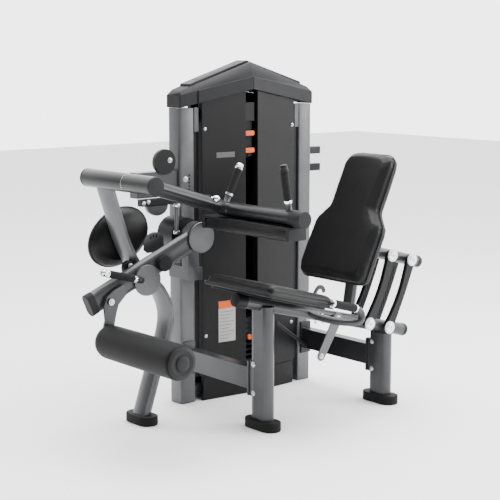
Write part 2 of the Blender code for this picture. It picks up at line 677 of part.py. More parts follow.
def build_back_pad():
    """Backrest outline: wide low part, shoulders, narrow top."""
    half = [(0.0, BACK_HALF_LOW - 0.038), (0.010, BACK_HALF_LOW - 0.014), (0.034, BACK_HALF_LOW),
            (0.235, BACK_HALF_LOW - 0.012), (0.275, BACK_HALF_LOW - 0.030),
            (0.320, BACK_HALF_TOP + 0.008), (0.500, BACK_HALF_TOP),
            (0.535, BACK_HALF_TOP - 0.020), (BACK_HEIGHT, BACK_HALF_TOP - 0.055)]
    outline = [(up, -width) for up, width in half] + [(up, width) for up, width in reversed(half)]
    bm = bmesh.new()
    rings = []
    for depth, shrink in ((0.0, 0.0), (0.024, -0.018), (0.060, -0.024), (BACK_THICKNESS, -0.014)):
        ring = []
        for up, y in outline:
            middle = BACK_HEIGHT / 2
            scale_up = 1 - shrink / middle
            narrow = y - math.copysign(shrink, y)
            ring.append(bm.verts.new(back_point(middle + (up - middle) * scale_up, depth, narrow)))
        rings.append(ring)
    ring_faces(bm, rings)
    bm.faces.new(rings[0])
    bm.faces.new(rings[-1])
    finish_mesh("back_pad", bm, upholstery)


# ---------------------------------------------------------------- lever arm
def build_knee():
    x, z = KNEE
    arm_far = ARM_NEAR_Y + ARM_WIDTH
    shaft = rod("drive_cam", (x, ARM_NEAR_Y + 0.002, z), (x, 0.492, z), SHAFT_RADIUS, bright_steel,
                origin=(x, 0, z))
    cam_plan = []
    for i in range(24):
        angle = math.tau * i / 24
        radius = CAM_RADIUS * (1 + 0.18 * math.cos(angle - math.radians(150)))
        cam_plan.append((x + radius * math.cos(angle), z + radius * math.sin(angle)))
    add(shaft, prism("cam_plate", cam_plan, "Y", 0.430, 0.452, dark_paint))
    housing = turned("pivot_housing", [(0.036, arm_far + 0.004), (0.036, 0.392)], x, z, frame_paint)
    add(housing,
        block("housing_web", (x - 0.026, x + 0.030), (arm_far + 0.006, 0.390), (0.602, z), frame_paint),
        block("housing_beam", (x - 0.010, x + 0.050), (arm_far + 0.007, tower_front - 0.010),
              (0.600, 0.655), frame_paint),
        block("housing_foot", (tower_x0 + 0.004, inner_x0 - 0.004),
              (tower_front - 0.012, tower_front - GAP), (0.575, 0.662), frame_paint),
        block("housing_tie", (x + 0.020, inner_x0 - 0.006), (tower_front - 0.040, tower_front - 0.008),
              (0.598, 0.653), frame_paint))
    cut(housing, rod("housing_bore", (x, 0.30, z), (x, 0.42, z), SHAFT_RADIUS + FIT, frame_paint))
    wall = 0.004
    outer = CAM_COVER_RADIUS
    profile = [(outer, 0.396), (outer, 0.505), (outer - wall, 0.505), (outer - wall, 0.396 + wall),
               (SHAFT_RADIUS + 0.004, 0.396 + wall), (SHAFT_RADIUS + 0.004, 0.396)]
    turned("cam_cover", profile, x, z, black_plastic, 28, bored=True)
    build_counterbalance_cover()


def build_counterbalance_cover():
    """Oval dished cover, tilted up towards the tower, on a boss behind the leg."""
    x, z = DISH
    c, s = math.cos(DISH_TILT), math.sin(DISH_TILT)
    bm = bmesh.new()
    rings = []
    for scale, y in ((0.74, 0.4495), (0.93, 0.466), (1.0, 0.488), (1.0, 0.500), (0.95, 0.512)):
        rings.append([bm.verts.new((x + (a * c - b * s) * scale, y, z + (a * s + b * c) * scale))
                      for a, b in ellipse(DISH_HALF[0], DISH_HALF[1], 32)])
    ring_faces(bm, rings)
    bm.faces.new(rings[0])
    bm.faces.new(rings[-1])
    cover = finish_mesh("counterbalance_cover", bm, black_plastic)
    boss = (-0.388, 0.716)
    add(cover, rod("cover_boss", (boss[0], LEG_Y + LEG_HALF[1] + GAP, boss[1]),
                   (boss[0], 0.470, boss[1]), 0.018, black_plastic, 16))


def build_arm():
    x, z = KNEE
    arm_far = ARM_NEAR_Y + ARM_WIDTH
    middle_y = (ARM_NEAR_Y + arm_far) / 2
    arm = sweep("lever_arm", ((x, middle_y, z), (ARM_TIP[0], middle_y, ARM_TIP[1])),
                stadium(ARM_WIDTH / 2, ARM_DEPTH / 2, 5), (0, 1, 0), frame_paint,
                origin=(x, middle_y, z))
    add(arm, turned("arm_hub", [(HUB_RADIUS, ARM_NEAR_Y), (HUB_RADIUS, arm_far)], x, z,
                    frame_paint, 24))
    cut(arm, rod("arm_bore", (x, 0.20, z), (x, 0.40, z), SHAFT_RADIUS + FIT, frame_paint))
    near = ARM_NEAR_Y - GAP
    bx, bz = LINK_BOLT
    plate_far = ARM_NEAR_Y - 0.009
    bolt = [(0.012, plate_far - 0.017), (0.012, plate_far - 0.010 - GAP),
            (0.006, plate_far - 0.010 - GAP), (0.006, ARM_NEAR_Y + 0.010)]
    add(arm, turned("link_bolt", bolt, bx, bz, frame_paint, 12))
    knob = (-0.309, 0.708)
    turned("arm_knob", [(0.026, near - 0.030), (0.031, near - 0.026), (0.031, near - 0.008),
                        (0.012, near - 0.006), (0.012, near)], knob[0], knob[1], black_plastic,
           origin=(knob[0], near, knob[1]))
    disc = (-0.388, 0.642)
    plate = turned("adjuster_disc", [(0.066, near - 0.008), (0.066, near)], disc[0], disc[1],
                   frame_paint, 24)
    root = (-0.440, 0.652)
    add(plate, rod("handle_pin", (root[0], near - 0.004, root[1]), (root[0], near - 0.036, root[1]),
                   0.005, frame_paint, 10))
    handle_y = near - 0.024
    tip = (-0.600, 0.696)
    handle = rod("start_handle", (root[0] + 0.016, handle_y, root[1] - 0.0044),
                 (tip[0], handle_y, tip[1]), 0.014, black_plastic, 12,
                 origin=(root[0], handle_y, root[1]))
    cut(handle, rod("handle_hole", (root[0], near - 0.06, root[1]), (root[0], near - 0.0085, root[1]),
                    0.005 + FIT, black_plastic, 10))


def build_roller():
    bx, bz = LINK_BOLT
    rx, rz = ROLLER_AXIS
    near = ARM_NEAR_Y - 0.009
    outline = [(-0.512, 0.642), (-0.498, 0.600), (-0.540, 0.560), (-0.553, 0.520),
               (rx + 0.030, rz + 0.020), (rx + 0.022, rz - 0.022), (rx, rz - 0.030),
               (rx - 0.024, rz - 0.020), (rx - 0.028, rz + 0.010), (-0.606, 0.500),
               (-0.612, 0.560), (-0.596, 0.598), (-0.560, 0.622)]
    link = prism("roller_link", outline, "Y", near - 0.010, near, frame_paint, origin=(bx, near, bz))
    cut(link, rod("link_bolt_hole", (bx, 0.25, bz), (bx, 0.30, bz), 0.006 + FIT, frame_paint, 12),
        rod("link_axle_hole", (rx, 0.25, rz), (rx, 0.30, rz), AXLE_RADIUS + FIT, frame_paint, 12))
    turned("roller_axle", [(0.016, ROLLER_Y[0] - 0.004), (0.016, ROLLER_Y[0] - GAP),
                           (AXLE_RADIUS, ROLLER_Y[0] - GAP), (AXLE_RADIUS, near + 0.004)],
           rx, rz, bright_steel, 16)
    y0, y1 = ROLLER_Y
    profile = [(AXLE_RADIUS + FIT, y0), (ROLLER_RADIUS - 0.012, y0), (ROLLER_RADIUS, y0 + 0.010),
               (ROLLER_RADIUS, y1 - 0.014), (ROLLER_RADIUS - 0.014, y1), (AXLE_RADIUS + FIT, y1)]
    turned("foam_roller", profile, rx, rz, upholstery, 24, bored=True, origin=(rx, 0, rz))


# ---------------------------------------------------------------- front frame
def build_front_leg():
    route = [(LEG_FOOT_X - 0.004, FOOT_HEIGHT - 0.012), (-0.292, 0.200), (-0.233, 0.350), (-0.214, 0.470),
             (-0.262, 0.580), (-0.362, 0.668), (-0.432, 0.790), (-0.478, 0.920), (CROSS[0] + 0.006, 1.045)]
    path = smooth_path([(x, LEG_Y, z) for x, z in route], 3)
    leg = sweep("front_leg", path, stadium(LEG_HALF[1], LEG_HALF[0], 4), (0, 1, 0), frame_paint)
    seam, far = CROSS_Y[1], CROSS_Y[2]
    cross = turned("cross_fixed", [(SPIGOT_RADIUS, CROSS_Y[0] + 0.030), (SPIGOT_RADIUS, seam + GAP),
                                   (CROSS_RADIUS, seam + GAP), (CROSS_RADIUS, far - 0.010),
                                   (CROSS_RADIUS - 0.010, far)], CROSS[0], CROSS[1], dark_paint)
    add(leg, cross)
    cut(leg, block("leg_trim", (LEG_FOOT_X - 0.1, LEG_FOOT_X + 0.1), (LEG_Y - 0.1, LEG_Y + 0.1),
                   (-0.05, FOOT_HEIGHT + GAP), rubber))
    foot = [(LEG_FOOT_X + a, LEG_Y + b) for a, b in stadium(FOOT_RADIUS, FOOT_RADIUS + 0.042, 6)]
    prism("leg_foot", foot, "Z", 0, FOOT_HEIGHT, rubber)
    x0 = -0.262
    block("arm_bracket", (x0, tower_x0 - GAP), (0.536, 0.592), (0.950, 1.062), frame_paint)


def build_thigh_arm():
    x, z = CROSS
    near, seam = CROSS_Y[0], CROSS_Y[1]
    sleeve = turned("thigh_arm", [(CROSS_RADIUS - 0.008, near), (CROSS_RADIUS, near + 0.008),
                                  (CROSS_RADIUS, seam)], x, z, dark_paint, origin=(x, 0, z))
    bx, bz = THIGH_BAR
    bend = 0.050
    slope = (bz - z) / (bx - x)
    tube_start, tube_end = THIGH_TUBE_Y
    route = [(x + 0.010, tube_start, z + 0.010 * slope),
             (bx - bend, tube_end, bz - bend * slope),
             (bx - 0.016, tube_end - 0.010, bz + 0.003), (bx, tube_end - 0.036, bz),
             (bx, tube_end - 0.086, bz), (bx, THIGH_BAR_END, bz)]
    path = [Vector(route[0])] + smooth_path(route[1:5], 3) + [Vector(route[5])]
    add(sleeve, sweep("thigh_tube", path, ellipse(THIGH_BAR_RADIUS, THIGH_BAR_RADIUS), (0, 0, 1),
                      frame_paint))
    width, height = THIGH_PAD_SIZE
    top = bz - THIGH_BAR_RADIUS - GAP
    outline = rounded(bx - width / 2, bx + width / 2, top - height, top, (0.020, 0.020, 0.008, 0.008))
    prism("thigh_pad", outline, "Y", THIGH_PAD_Y[0], THIGH_PAD_Y[1], upholstery, origin=(x, 0, z))
    for name, y, lean, height in (("thigh_grip_far", 0.130, 0.060, 0.155),
                                  ("thigh_grip_near", -0.255, -0.032, 0.180)):
        base = bz + THIGH_BAR_RADIUS
        path = [(bx, y, base - 0.010), (bx + lean * 0.2, y, base + 0.028),
                (bx + lean, y, base + height)]
        add(sleeve, sweep(name, path, ellipse(0.014, 0.014, 12), (0, 1, 0), black_plastic))
    cut(sleeve, rod("sleeve_bore", (x, near + 0.029, z), (x, seam + 0.01, z),
                    SPIGOT_RADIUS + FIT, dark_paint))


build_uprights()
build_roof()
build_shrouds()
build_stack()
build_top_pulley()
build_accessory_bracket()
build_bench_frame()
build_release_lever()
build_seat()
build_handles()
build_links()
build_carriage()
build_back_pad()
build_knee()
build_arm()
build_roller()
build_front_leg()
build_thigh_arm()
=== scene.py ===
"""Looks of the seated leg machine: finishes, cushions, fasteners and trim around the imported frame.

Places are written from the foot of the front seat post, in metres, as the design is:
+X towards the backrest, +Y towards the weight tower, +Z up.
"""
import json
import math

import bmesh
import bpy
from mathutils import Matrix, Vector


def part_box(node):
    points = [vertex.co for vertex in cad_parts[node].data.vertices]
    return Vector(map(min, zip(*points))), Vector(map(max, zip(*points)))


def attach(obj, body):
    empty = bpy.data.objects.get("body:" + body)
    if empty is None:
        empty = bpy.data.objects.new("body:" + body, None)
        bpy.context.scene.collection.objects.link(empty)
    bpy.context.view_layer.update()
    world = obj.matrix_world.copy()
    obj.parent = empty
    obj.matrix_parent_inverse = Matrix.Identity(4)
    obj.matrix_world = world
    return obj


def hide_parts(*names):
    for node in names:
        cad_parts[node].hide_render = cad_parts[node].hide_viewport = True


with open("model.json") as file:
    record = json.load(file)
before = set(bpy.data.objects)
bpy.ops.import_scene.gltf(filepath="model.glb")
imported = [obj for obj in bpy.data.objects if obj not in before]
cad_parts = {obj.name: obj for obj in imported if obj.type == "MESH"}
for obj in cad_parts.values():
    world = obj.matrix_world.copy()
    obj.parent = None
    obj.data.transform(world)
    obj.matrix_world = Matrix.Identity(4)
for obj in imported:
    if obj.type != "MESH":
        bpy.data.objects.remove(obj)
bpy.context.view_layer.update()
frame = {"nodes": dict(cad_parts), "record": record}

BODY_OF = {node: body for body, nodes in frame["record"]["behaviour"]["bodies"].items()
           for node in nodes}
foot_low, foot_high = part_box("front_foot")
ORIGIN = (foot_low + foot_high) / 2
ORIGIN.z = 0
SMOOTH = math.radians(38)             # edges flatter than this are shaded smooth
BEVEL_FROM = math.radians(40)         # and bevels round edges sharper than this
WELD, FLAT = 0.00002, math.radians(0.4)
NEAR, FAR, UP = (0, -1, 0), (0, 1, 0), (0, 0, 1)

# ---- sizes shared with the design ----
TOWER_X, TOWER_Y = 0.345, 0.565
TOWER_HALF, TOWER_FRONT, PROW = 0.388, 0.520, 0.030
EAVE, RISE = 1.335, 0.076
RAIL_SLOPE = math.radians(14.65)
RAIL_HEIGHT, RAIL_RADIUS = 0.534, 0.028
BACK_FOOT, BACK_LEAN = (0.360, 0.635), math.radians(25.4)
KNEE = (-0.105, 0.796)
ARM_NEAR_Y, ARM_FAR_Y = 0.292, 0.338
ARM_TIP = (-0.660, 0.563)
ROLLER = (-0.600, 0.417)
CROSS = (-0.525, 1.063)
THIGH_BAR = (-0.0775, 0.931)
LINK_LOWER_X, LINK_VECTOR = (0.570, 0.695), (0.137, 0.295)
PLATE_PITCH = 0.0254
REAR_POST_X, POST_HALF_X = 0.700, 0.0275
SEAT_LENGTH, SEAT_WIDTH, SEAT_FRONT = 0.385, 0.440, -0.172
ROLLER_Y, THIGH_PAD_Y = (-0.240, 0.266), (-0.303, 0.252)
CROSS_Y, CROSS_RADIUS = (0.022, 0.215, 0.517), 0.038
DISC, KNOB, LINK_BOLT = (-0.388, 0.642), (-0.309, 0.708), (-0.580, 0.576)
DISH, DISH_TILT = (-0.392, 0.803), math.radians(27.6)

# ---- viewpoint ----
CAMERA_AT, CAMERA_LENS, CAMERA_SENSOR = (-3.545, -4.230, 1.610), 96.55, 36
CAMERA_PITCH, CAMERA_TURN = math.radians(81.3), math.radians(-39.4)


def at(x, y, z):
    return ORIGIN + Vector((x, y, z))


def rail_z(x):
    return RAIL_HEIGHT - x * math.tan(RAIL_SLOPE)


def back_point(up, out, y):
    c, s = math.cos(BACK_LEAN), math.sin(BACK_LEAN)
    return at(BACK_FOOT[0] + up * s + out * c, y, BACK_FOOT[1] + up * c - out * s)


def front_face_y(x):
    """Front of the shroud, a shallow prow."""
    return TOWER_FRONT - PROW * max(1 - abs(x - TOWER_X) / TOWER_HALF, 0)


def roof_edge_z(x):
    return EAVE + RISE * max(1 - abs(x - TOWER_X) / TOWER_HALF, 0)


# ---------------------------------------------------------------- materials
def node_material(name, colour, roughness, metallic=0.0, coat=0.0, sheen=0.0,
                  specular=0.5):
    material = bpy.data.materials.new(name)
    material.use_nodes = True
    shader = material.node_tree.nodes["Principled BSDF"]
    shader.inputs["Base Color"].default_value = (*colour, 1)
    shader.inputs["Roughness"].default_value = roughness
    shader.inputs["Metallic"].default_value = metallic
    shader.inputs["Coat Weight"].default_value = coat
    shader.inputs["Coat Roughness"].default_value = 0.25
    shader.inputs["Sheen Weight"].default_value = sheen
    shader.inputs["Specular IOR Level"].default_value = specular
    return material, material.node_tree, shader


def add_node(tree, kind, **values):
    node = tree.nodes.new(kind)
    for key, value in values.items():
        if key in node.inputs:
            node.inputs[key].default_value = value
        else:
            setattr(node, key, value)
    return node


def object_coordinates(tree, stretch=(1, 1, 1)):
    source = add_node(tree, "ShaderNodeTexCoord")
    mapping = add_node(tree, "ShaderNodeMapping")
    mapping.inputs["Scale"].default_value = stretch
    tree.links.new(source.outputs["Object"], mapping.inputs["Vector"])
    return mapping.outputs["Vector"]


def noise(tree, vector, scale, detail=4.0):
    node = add_node(tree, "ShaderNodeTexNoise", Scale=scale, Detail=detail)
    tree.links.new(vector, node.inputs["Vector"])
    return node.outputs["Fac"]


def vary_colour(tree, shader, factor, dark, light, low=0.3, high=0.7):
    ramp = add_node(tree, "ShaderNodeValToRGB")
    ramp.color_ramp.elements[0].position = low
    ramp.color_ramp.elements[0].color = (*dark, 1)
    ramp.color_ramp.elements[1].position = high
    ramp.color_ramp.elements[1].color = (*light, 1)
    tree.links.new(factor, ramp.inputs["Fac"])
    tree.links.new(ramp.outputs["Color"], shader.inputs["Base Color"])
    return ramp


def vary_roughness(tree, shader, factor, low, high):
    span = add_node(tree, "ShaderNodeMapRange")
    span.inputs["To Min"].default_value = low
    span.inputs["To Max"].default_value = high
    tree.links.new(factor, span.inputs["Value"])
    tree.links.new(span.outputs["Result"], shader.inputs["Roughness"])


def bump(tree, shader, heights, strength, distance):
    """Adds the height signals together and feeds them to the surface normal."""
    total = heights[0]
    for extra in heights[1:]:
        plus = add_node(tree, "ShaderNodeMath", operation="ADD")
        tree.links.new(total, plus.inputs[0])
        tree.links.new(extra, plus.inputs[1])
        total = plus.outputs[0]
    node = add_node(tree, "ShaderNodeBump", Strength=strength, Distance=distance)
    tree.links.new(total, node.inputs["Height"])
    tree.links.new(node.outputs["Normal"], shader.inputs["Normal"])


def shades(colour, spread):
    return [c * (1 - spread) for c in colour], [min(c * (1 + spread), 1) for c in colour]


def powder_coat(name, colour, roughness=0.38, metallic=0.55, grain=900):
    """Metallic powder coat: fine orange peel, faint mottling and rubbed patches."""
    material, tree, shader = node_material(name, colour, roughness, metallic, coat=0.06,
                                           specular=0.3)
    place = object_coordinates(tree)
    dark, light = shades(colour, 0.10)
    vary_colour(tree, shader, noise(tree, place, 9.0), dark, light)
    vary_roughness(tree, shader, noise(tree, place, 28.0), roughness - 0.07, roughness + 0.09)
    bump(tree, shader, [noise(tree, place, grain, 2.0), noise(tree, place, 160.0, 2.0)], 0.10,
         0.0003)
    return material


def moulded(name, colour, roughness=0.5, grain=1400, strength=0.25):
    """Textured plastic: a tight spark grain over slightly uneven colour."""
    material, tree, shader = node_material(name, colour, roughness, specular=0.20)
    place = object_coordinates(tree)
    dark, light = shades(colour, 0.12)
    vary_colour(tree, shader, noise(tree, place, 6.0), dark, light)
    cells = add_node(tree, "ShaderNodeTexVoronoi", Scale=grain)
    tree.links.new(place, cells.inputs["Vector"])
    vary_roughness(tree, shader, noise(tree, place, 35.0), roughness - 0.06, roughness + 0.08)
    bump(tree, shader, [cells.outputs["Distance"]], strength, 0.0004)
    return material


def vinyl(name, colour, roughness=0.42):
    """Upholstery vinyl: pebbled leather grain with soft creases and a low sheen."""
    material, tree, shader = node_material(name, colour, roughness, sheen=0.03, coat=0.03,
                                           specular=0.18)
    place = object_coordinates(tree)
    dark, light = shades(colour, 0.22)
    vary_colour(tree, shader, noise(tree, place, 14.0), dark, light)
    pebble = add_node(tree, "ShaderNodeTexVoronoi", Scale=520.0, feature="SMOOTH_F1")
    tree.links.new(place, pebble.inputs["Vector"])
    vary_roughness(tree, shader, noise(tree, place, 60.0), roughness - 0.08, roughness + 0.10)
    bump(tree, shader, [pebble.outputs["Distance"], noise(tree, place, 45.0)], 0.35, 0.0008)
    return material


def closed_foam(name, colour, roughness=0.62):
    """Skinned foam: fine open cells and broad soft mottling."""
    material, tree, shader = node_material(name, colour, roughness, sheen=0.03,
                                           specular=0.14)
    place = object_coordinates(tree)
    dark, light = shades(colour, 0.18)
    vary_colour(tree, shader, noise(tree, place, 20.0), dark, light)
    bump(tree, shader, [noise(tree, place, 700.0, 6.0), noise(tree, place, 90.0)], 0.4, 0.0007)
    return material


def bright_metal(name, colour, roughness=0.14):
    """Plated steel with fine turning marks and light scuffs."""
    material, tree, shader = node_material(name, colour, roughness, metallic=1.0)
    place = object_coordinates(tree, (1, 40, 1))
    vary_roughness(tree, shader, noise(tree, place, 60.0), roughness - 0.05, roughness + 0.14)
    bump(tree, shader, [noise(tree, place, 240.0)], 0.05, 0.0003)
    return material


def plate_coat(name, colour):
    """Cast plate under a thick black coat, with random lighter and darker patches."""
    material, tree, shader = node_material(name, colour, 0.5, metallic=0.4)
    place = object_coordinates(tree)
    dark, light = shades(colour, 0.3)
    vary_colour(tree, shader, noise(tree, place, 30.0), dark, light)
    vary_roughness(tree, shader, noise(tree, place, 70.0), 0.35, 0.6)
    bump(tree, shader, [noise(tree, place, 320.0)], 0.3, 0.001)
    return material


FRAME_GREY = powder_coat("frame_grey", (0.060, 0.061, 0.065), 0.33, 0.55)
FRAME_LIGHT = powder_coat("frame_light", (0.098, 0.099, 0.104), 0.32, 0.6)
FRAME_DARK = powder_coat("frame_dark", (0.016, 0.016, 0.018), 0.40, 0.3)
CAP_GREY = moulded("cap_grey", (0.013, 0.013, 0.0142), 0.55, 900)
SHROUD = moulded("shroud_grey", (0.0050, 0.0050, 0.0058), 0.45, 1500, 0.2)
ROOF = moulded("roof_grey", (0.010, 0.010, 0.0115), 0.45, 1500, 0.2)
BLACK = moulded("black_plastic", (0.0050, 0.0050, 0.0056), 0.42, 1100, 0.2)
RUBBER = moulded("rubber_black", (0.0075, 0.0075, 0.0080), 0.72, 600, 0.4)
VINYL = vinyl("vinyl_black", (0.0052, 0.0052, 0.0058), 0.46)
# lighter copy of the black vinyl: painted light for the lit sides of the cushions, worn by the welts and
# stitches
VINYL_PAINTED_LIGHT = vinyl("vinyl_painted_light", (0.018, 0.018, 0.020), 0.5)
FOAM = closed_foam("foam_black", (0.0030, 0.0030, 0.0034))
CHROME = bright_metal("chrome_bright", (0.86, 0.86, 0.88))
BOLT = bright_metal("bolt_zinc", (0.66, 0.67, 0.70), 0.26)
PLATES = plate_coat("plate_black", (0.022, 0.022, 0.025))
ORANGE = moulded("orange_plastic", (0.70, 0.115, 0.018), 0.35, 900, 0.12)
LABEL_PALE = moulded("label_pale", (0.42, 0.41, 0.40), 0.6, 2000, 0.05)
LABEL_GREY = moulded("label_grey", (0.11, 0.11, 0.11), 0.6, 2000, 0.05)
WHITE = moulded("cap_white", (0.86, 0.86, 0.86), 0.25, 1500, 0.06)
BAR = powder_coat("bar_grey", (0.0105, 0.0107, 0.0118), 0.30, 0.15)
LINK = moulded("link_black", (0.0085, 0.0085, 0.0095), 0.34, 1200, 0.15)
CABLE = moulded("cable_black", (0.05, 0.05, 0.052), 0.4, 2500, 0.3)


# ---------------------------------------------------------------- mesh helpers
def publish(name, bm, material, body, bevel=0.0, segments=2, smooth=SMOOTH):
    """Turns a bmesh into a finished piece that rides on a body."""
    bmesh.ops.recalc_face_normals(bm, faces=bm.faces)
    mesh = bpy.data.meshes.new(name)
    bm.to_mesh(mesh)
    bm.free()
    mesh.materials.append(material)
    mesh.shade_smooth()
    mesh.set_sharp_from_angle(angle=smooth)
    item = bpy.data.objects.new(name, mesh)
    bpy.context.scene.collection.objects.link(item)
    if bevel:
        soften = item.modifiers.new("soft_edges", "BEVEL")
        soften.width = bevel
        soften.segments = segments
        soften.limit_method = "ANGLE"
        soften.angle_limit = BEVEL_FROM
        soften.harden_normals = True
    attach(item, body)
    return item


def bridge(bm, rings, closed=False):
    count = len(rings[0])
    pairs = list(zip(rings, rings[1:]))
    if closed:
        pairs.append((rings[-1], rings[0]))
    for low, high in pairs:
        for i in range(count):
            j = (i + 1) % count
            bm.faces.new((low[i], low[j], high[j], high[i]))


def loft(bm, rings):
    """Skin through the rings, closed at both ends."""
    bridge(bm, rings)
    bm.faces.new(rings[0])
    bm.faces.new(rings[-1])


def ellipse(half_a, half_b, sides=32):
    turn = math.tau / sides
    return [(half_a * math.cos(turn * i), half_b * math.sin(turn * i)) for i in range(sides)]


def stadium(half_a, half_b, steps=12):
    radius = min(half_a, half_b)
    straight = abs(half_b - half_a)
    points = []
    for end in (0, 1):
        for i in range(steps + 1):
            angle = math.pi * (i / steps + end)
            px = radius * math.cos(angle)
            py = radius * math.sin(angle) + (straight if end == 0 else -straight)
            points.append((px, py) if half_b >= half_a else (py, -px))
    return points


def rounded(x0, x1, y0, y1, radius, steps=5):
    corners = ((x0, y0, 1, 1, 180), (x1, y0, -1, 1, 270), (x1, y1, -1, -1, 0), (x0, y1, 1, -1, 90))
    points = []
    for cx, cy, sx, sy, first in corners:
        for i in range(steps + 1):
            angle = math.radians(first + 90 * i / steps)
            points.append((cx + radius * (sx + math.cos(angle)),
                           cy + radius * (sy + math.sin(angle))))
    return points


def prism(name, outline, axis, start, end, material, body, bevel=0.002):
    """Outline in the plane square to an axis, carried between two heights."""
    order = {"X": lambda a, b, h: at(h, a, b), "Y": lambda a, b, h: at(a, h, b),
             "Z": lambda a, b, h: at(a, b, h)}[axis]
    bm = bmesh.new()
    rings = [[bm.verts.new(order(a, b, h)) for a, b in outline] for h in (start, end)]
    loft(bm, rings)
    return publish(name, bm, material, body, bevel)


def slab(name, x, y, z, material, body, bevel=0.002):
    outline = [(x[0], y[0]), (x[1], y[0]), (x[1], y[1]), (x[0], y[1])]
    return prism(name, outline, "Z", z[0], z[1], material, body, bevel)


def sweep(name, points, outline, side, material, body, bevel=0.0):
    path = [at(*p) for p in points]
    bm = bmesh.new()
    rings = []
    across = Vector(side)
    for i, place in enumerate(path):
        ahead = path[min(i + 1, len(path) - 1)] - place
        behind = place - path[max(i - 1, 0)]
        along = (ahead.normalized() + behind.normalized()).normalized()
        across = (across - along * across.dot(along)).normalized()
        third = along.cross(across)
        rings.append([bm.verts.new(place + (across * a + third * b)) for a, b in outline])
    loft(bm, rings)
    return publish(name, bm, material, body, bevel)


def smooth_path(points, steps=8):
    path = [Vector(p) for p in points]
    full = [path[0]] + path + [path[-1]]
    curve = []
    for a, b, c, d in zip(full, full[1:], full[2:], full[3:]):
        for i in range(steps):
            t = i / steps
            curve.append(0.5 * (2 * b + (c - a) * t + (2 * a - 5 * b + 4 * c - d) * t * t
                                + (3 * b - a - 3 * c + d) * t ** 3))
    return curve + [path[-1]]


def lathe(name, profile, centre, axis, material, body, sides=36, bored=False, bevel=0.0,
          smooth=SMOOTH):
    """Turned piece; profile is (radius, distance along the axis from the centre)."""
    along = Vector(axis).normalized()
    across = along.orthogonal().normalized()
    third = along.cross(across)
    base = at(*centre)
    bm = bmesh.new()
    rings = []
    for radius, distance in profile:
        rings.append([bm.verts.new(base + along * distance + (across * c + third * s) * radius)
                      for c, s in ellipse(1, 1, sides)])
    bridge(bm, rings, closed=bored)
    if not bored:
        bm.faces.new(rings[0])
        bm.faces.new(rings[-1])
    return publish(name, bm, material, body, bevel, smooth=smooth)


def bolt(name, centre, axis, body, radius=0.008, material=None):
    """Button-head bolt with a washer and a hexagon socket."""
    material = material or BOLT
    along = Vector(axis).normalized()
    across = along.orthogonal().normalized()
    third = along.cross(across)
    base = at(*centre)
    profile = [(radius * 1.35, 0.0), (radius * 1.35, 0.0012), (radius, 0.0014), (radius, 0.003),
               (radius * 0.86, 0.0052), (radius * 0.62, 0.0062)]
    bm = bmesh.new()
    rings = []
    for r, d in profile:
        rings.append([bm.verts.new(base + along * d + (across * c + third * s) * r)
                      for c, s in ellipse(1, 1, 24)])
    for r, d in ((radius * 0.5, 0.0062), (radius * 0.48, 0.0030)):
        ring = []
        for i in range(24):
            angle = math.tau * i / 24
            flat = math.cos(math.pi / 6) / math.cos((angle % (math.pi / 3)) - math.pi / 6)
            ring.append(bm.verts.new(base + along * d + (across * math.cos(angle)
                                                         + third * math.sin(angle)) * r * flat))
        rings.append(ring)
    loft(bm, rings)
    return publish(name, bm, material, body)


def refined(node, material, bevel=0.0015):
    """Welded, smooth-shaded, edge-rounded stand-in for a CAD node."""
    source = frame["nodes"][node]
    bm = bmesh.new()
    bm.from_mesh(source.data)
    bmesh.ops.remove_doubles(bm, verts=bm.verts, dist=WELD)
    bmesh.ops.dissolve_limit(bm, angle_limit=FLAT, verts=bm.verts, edges=bm.edges)
    item = publish(node + "_skin", bm, material, BODY_OF[node], bevel)
    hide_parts(node)
    return item


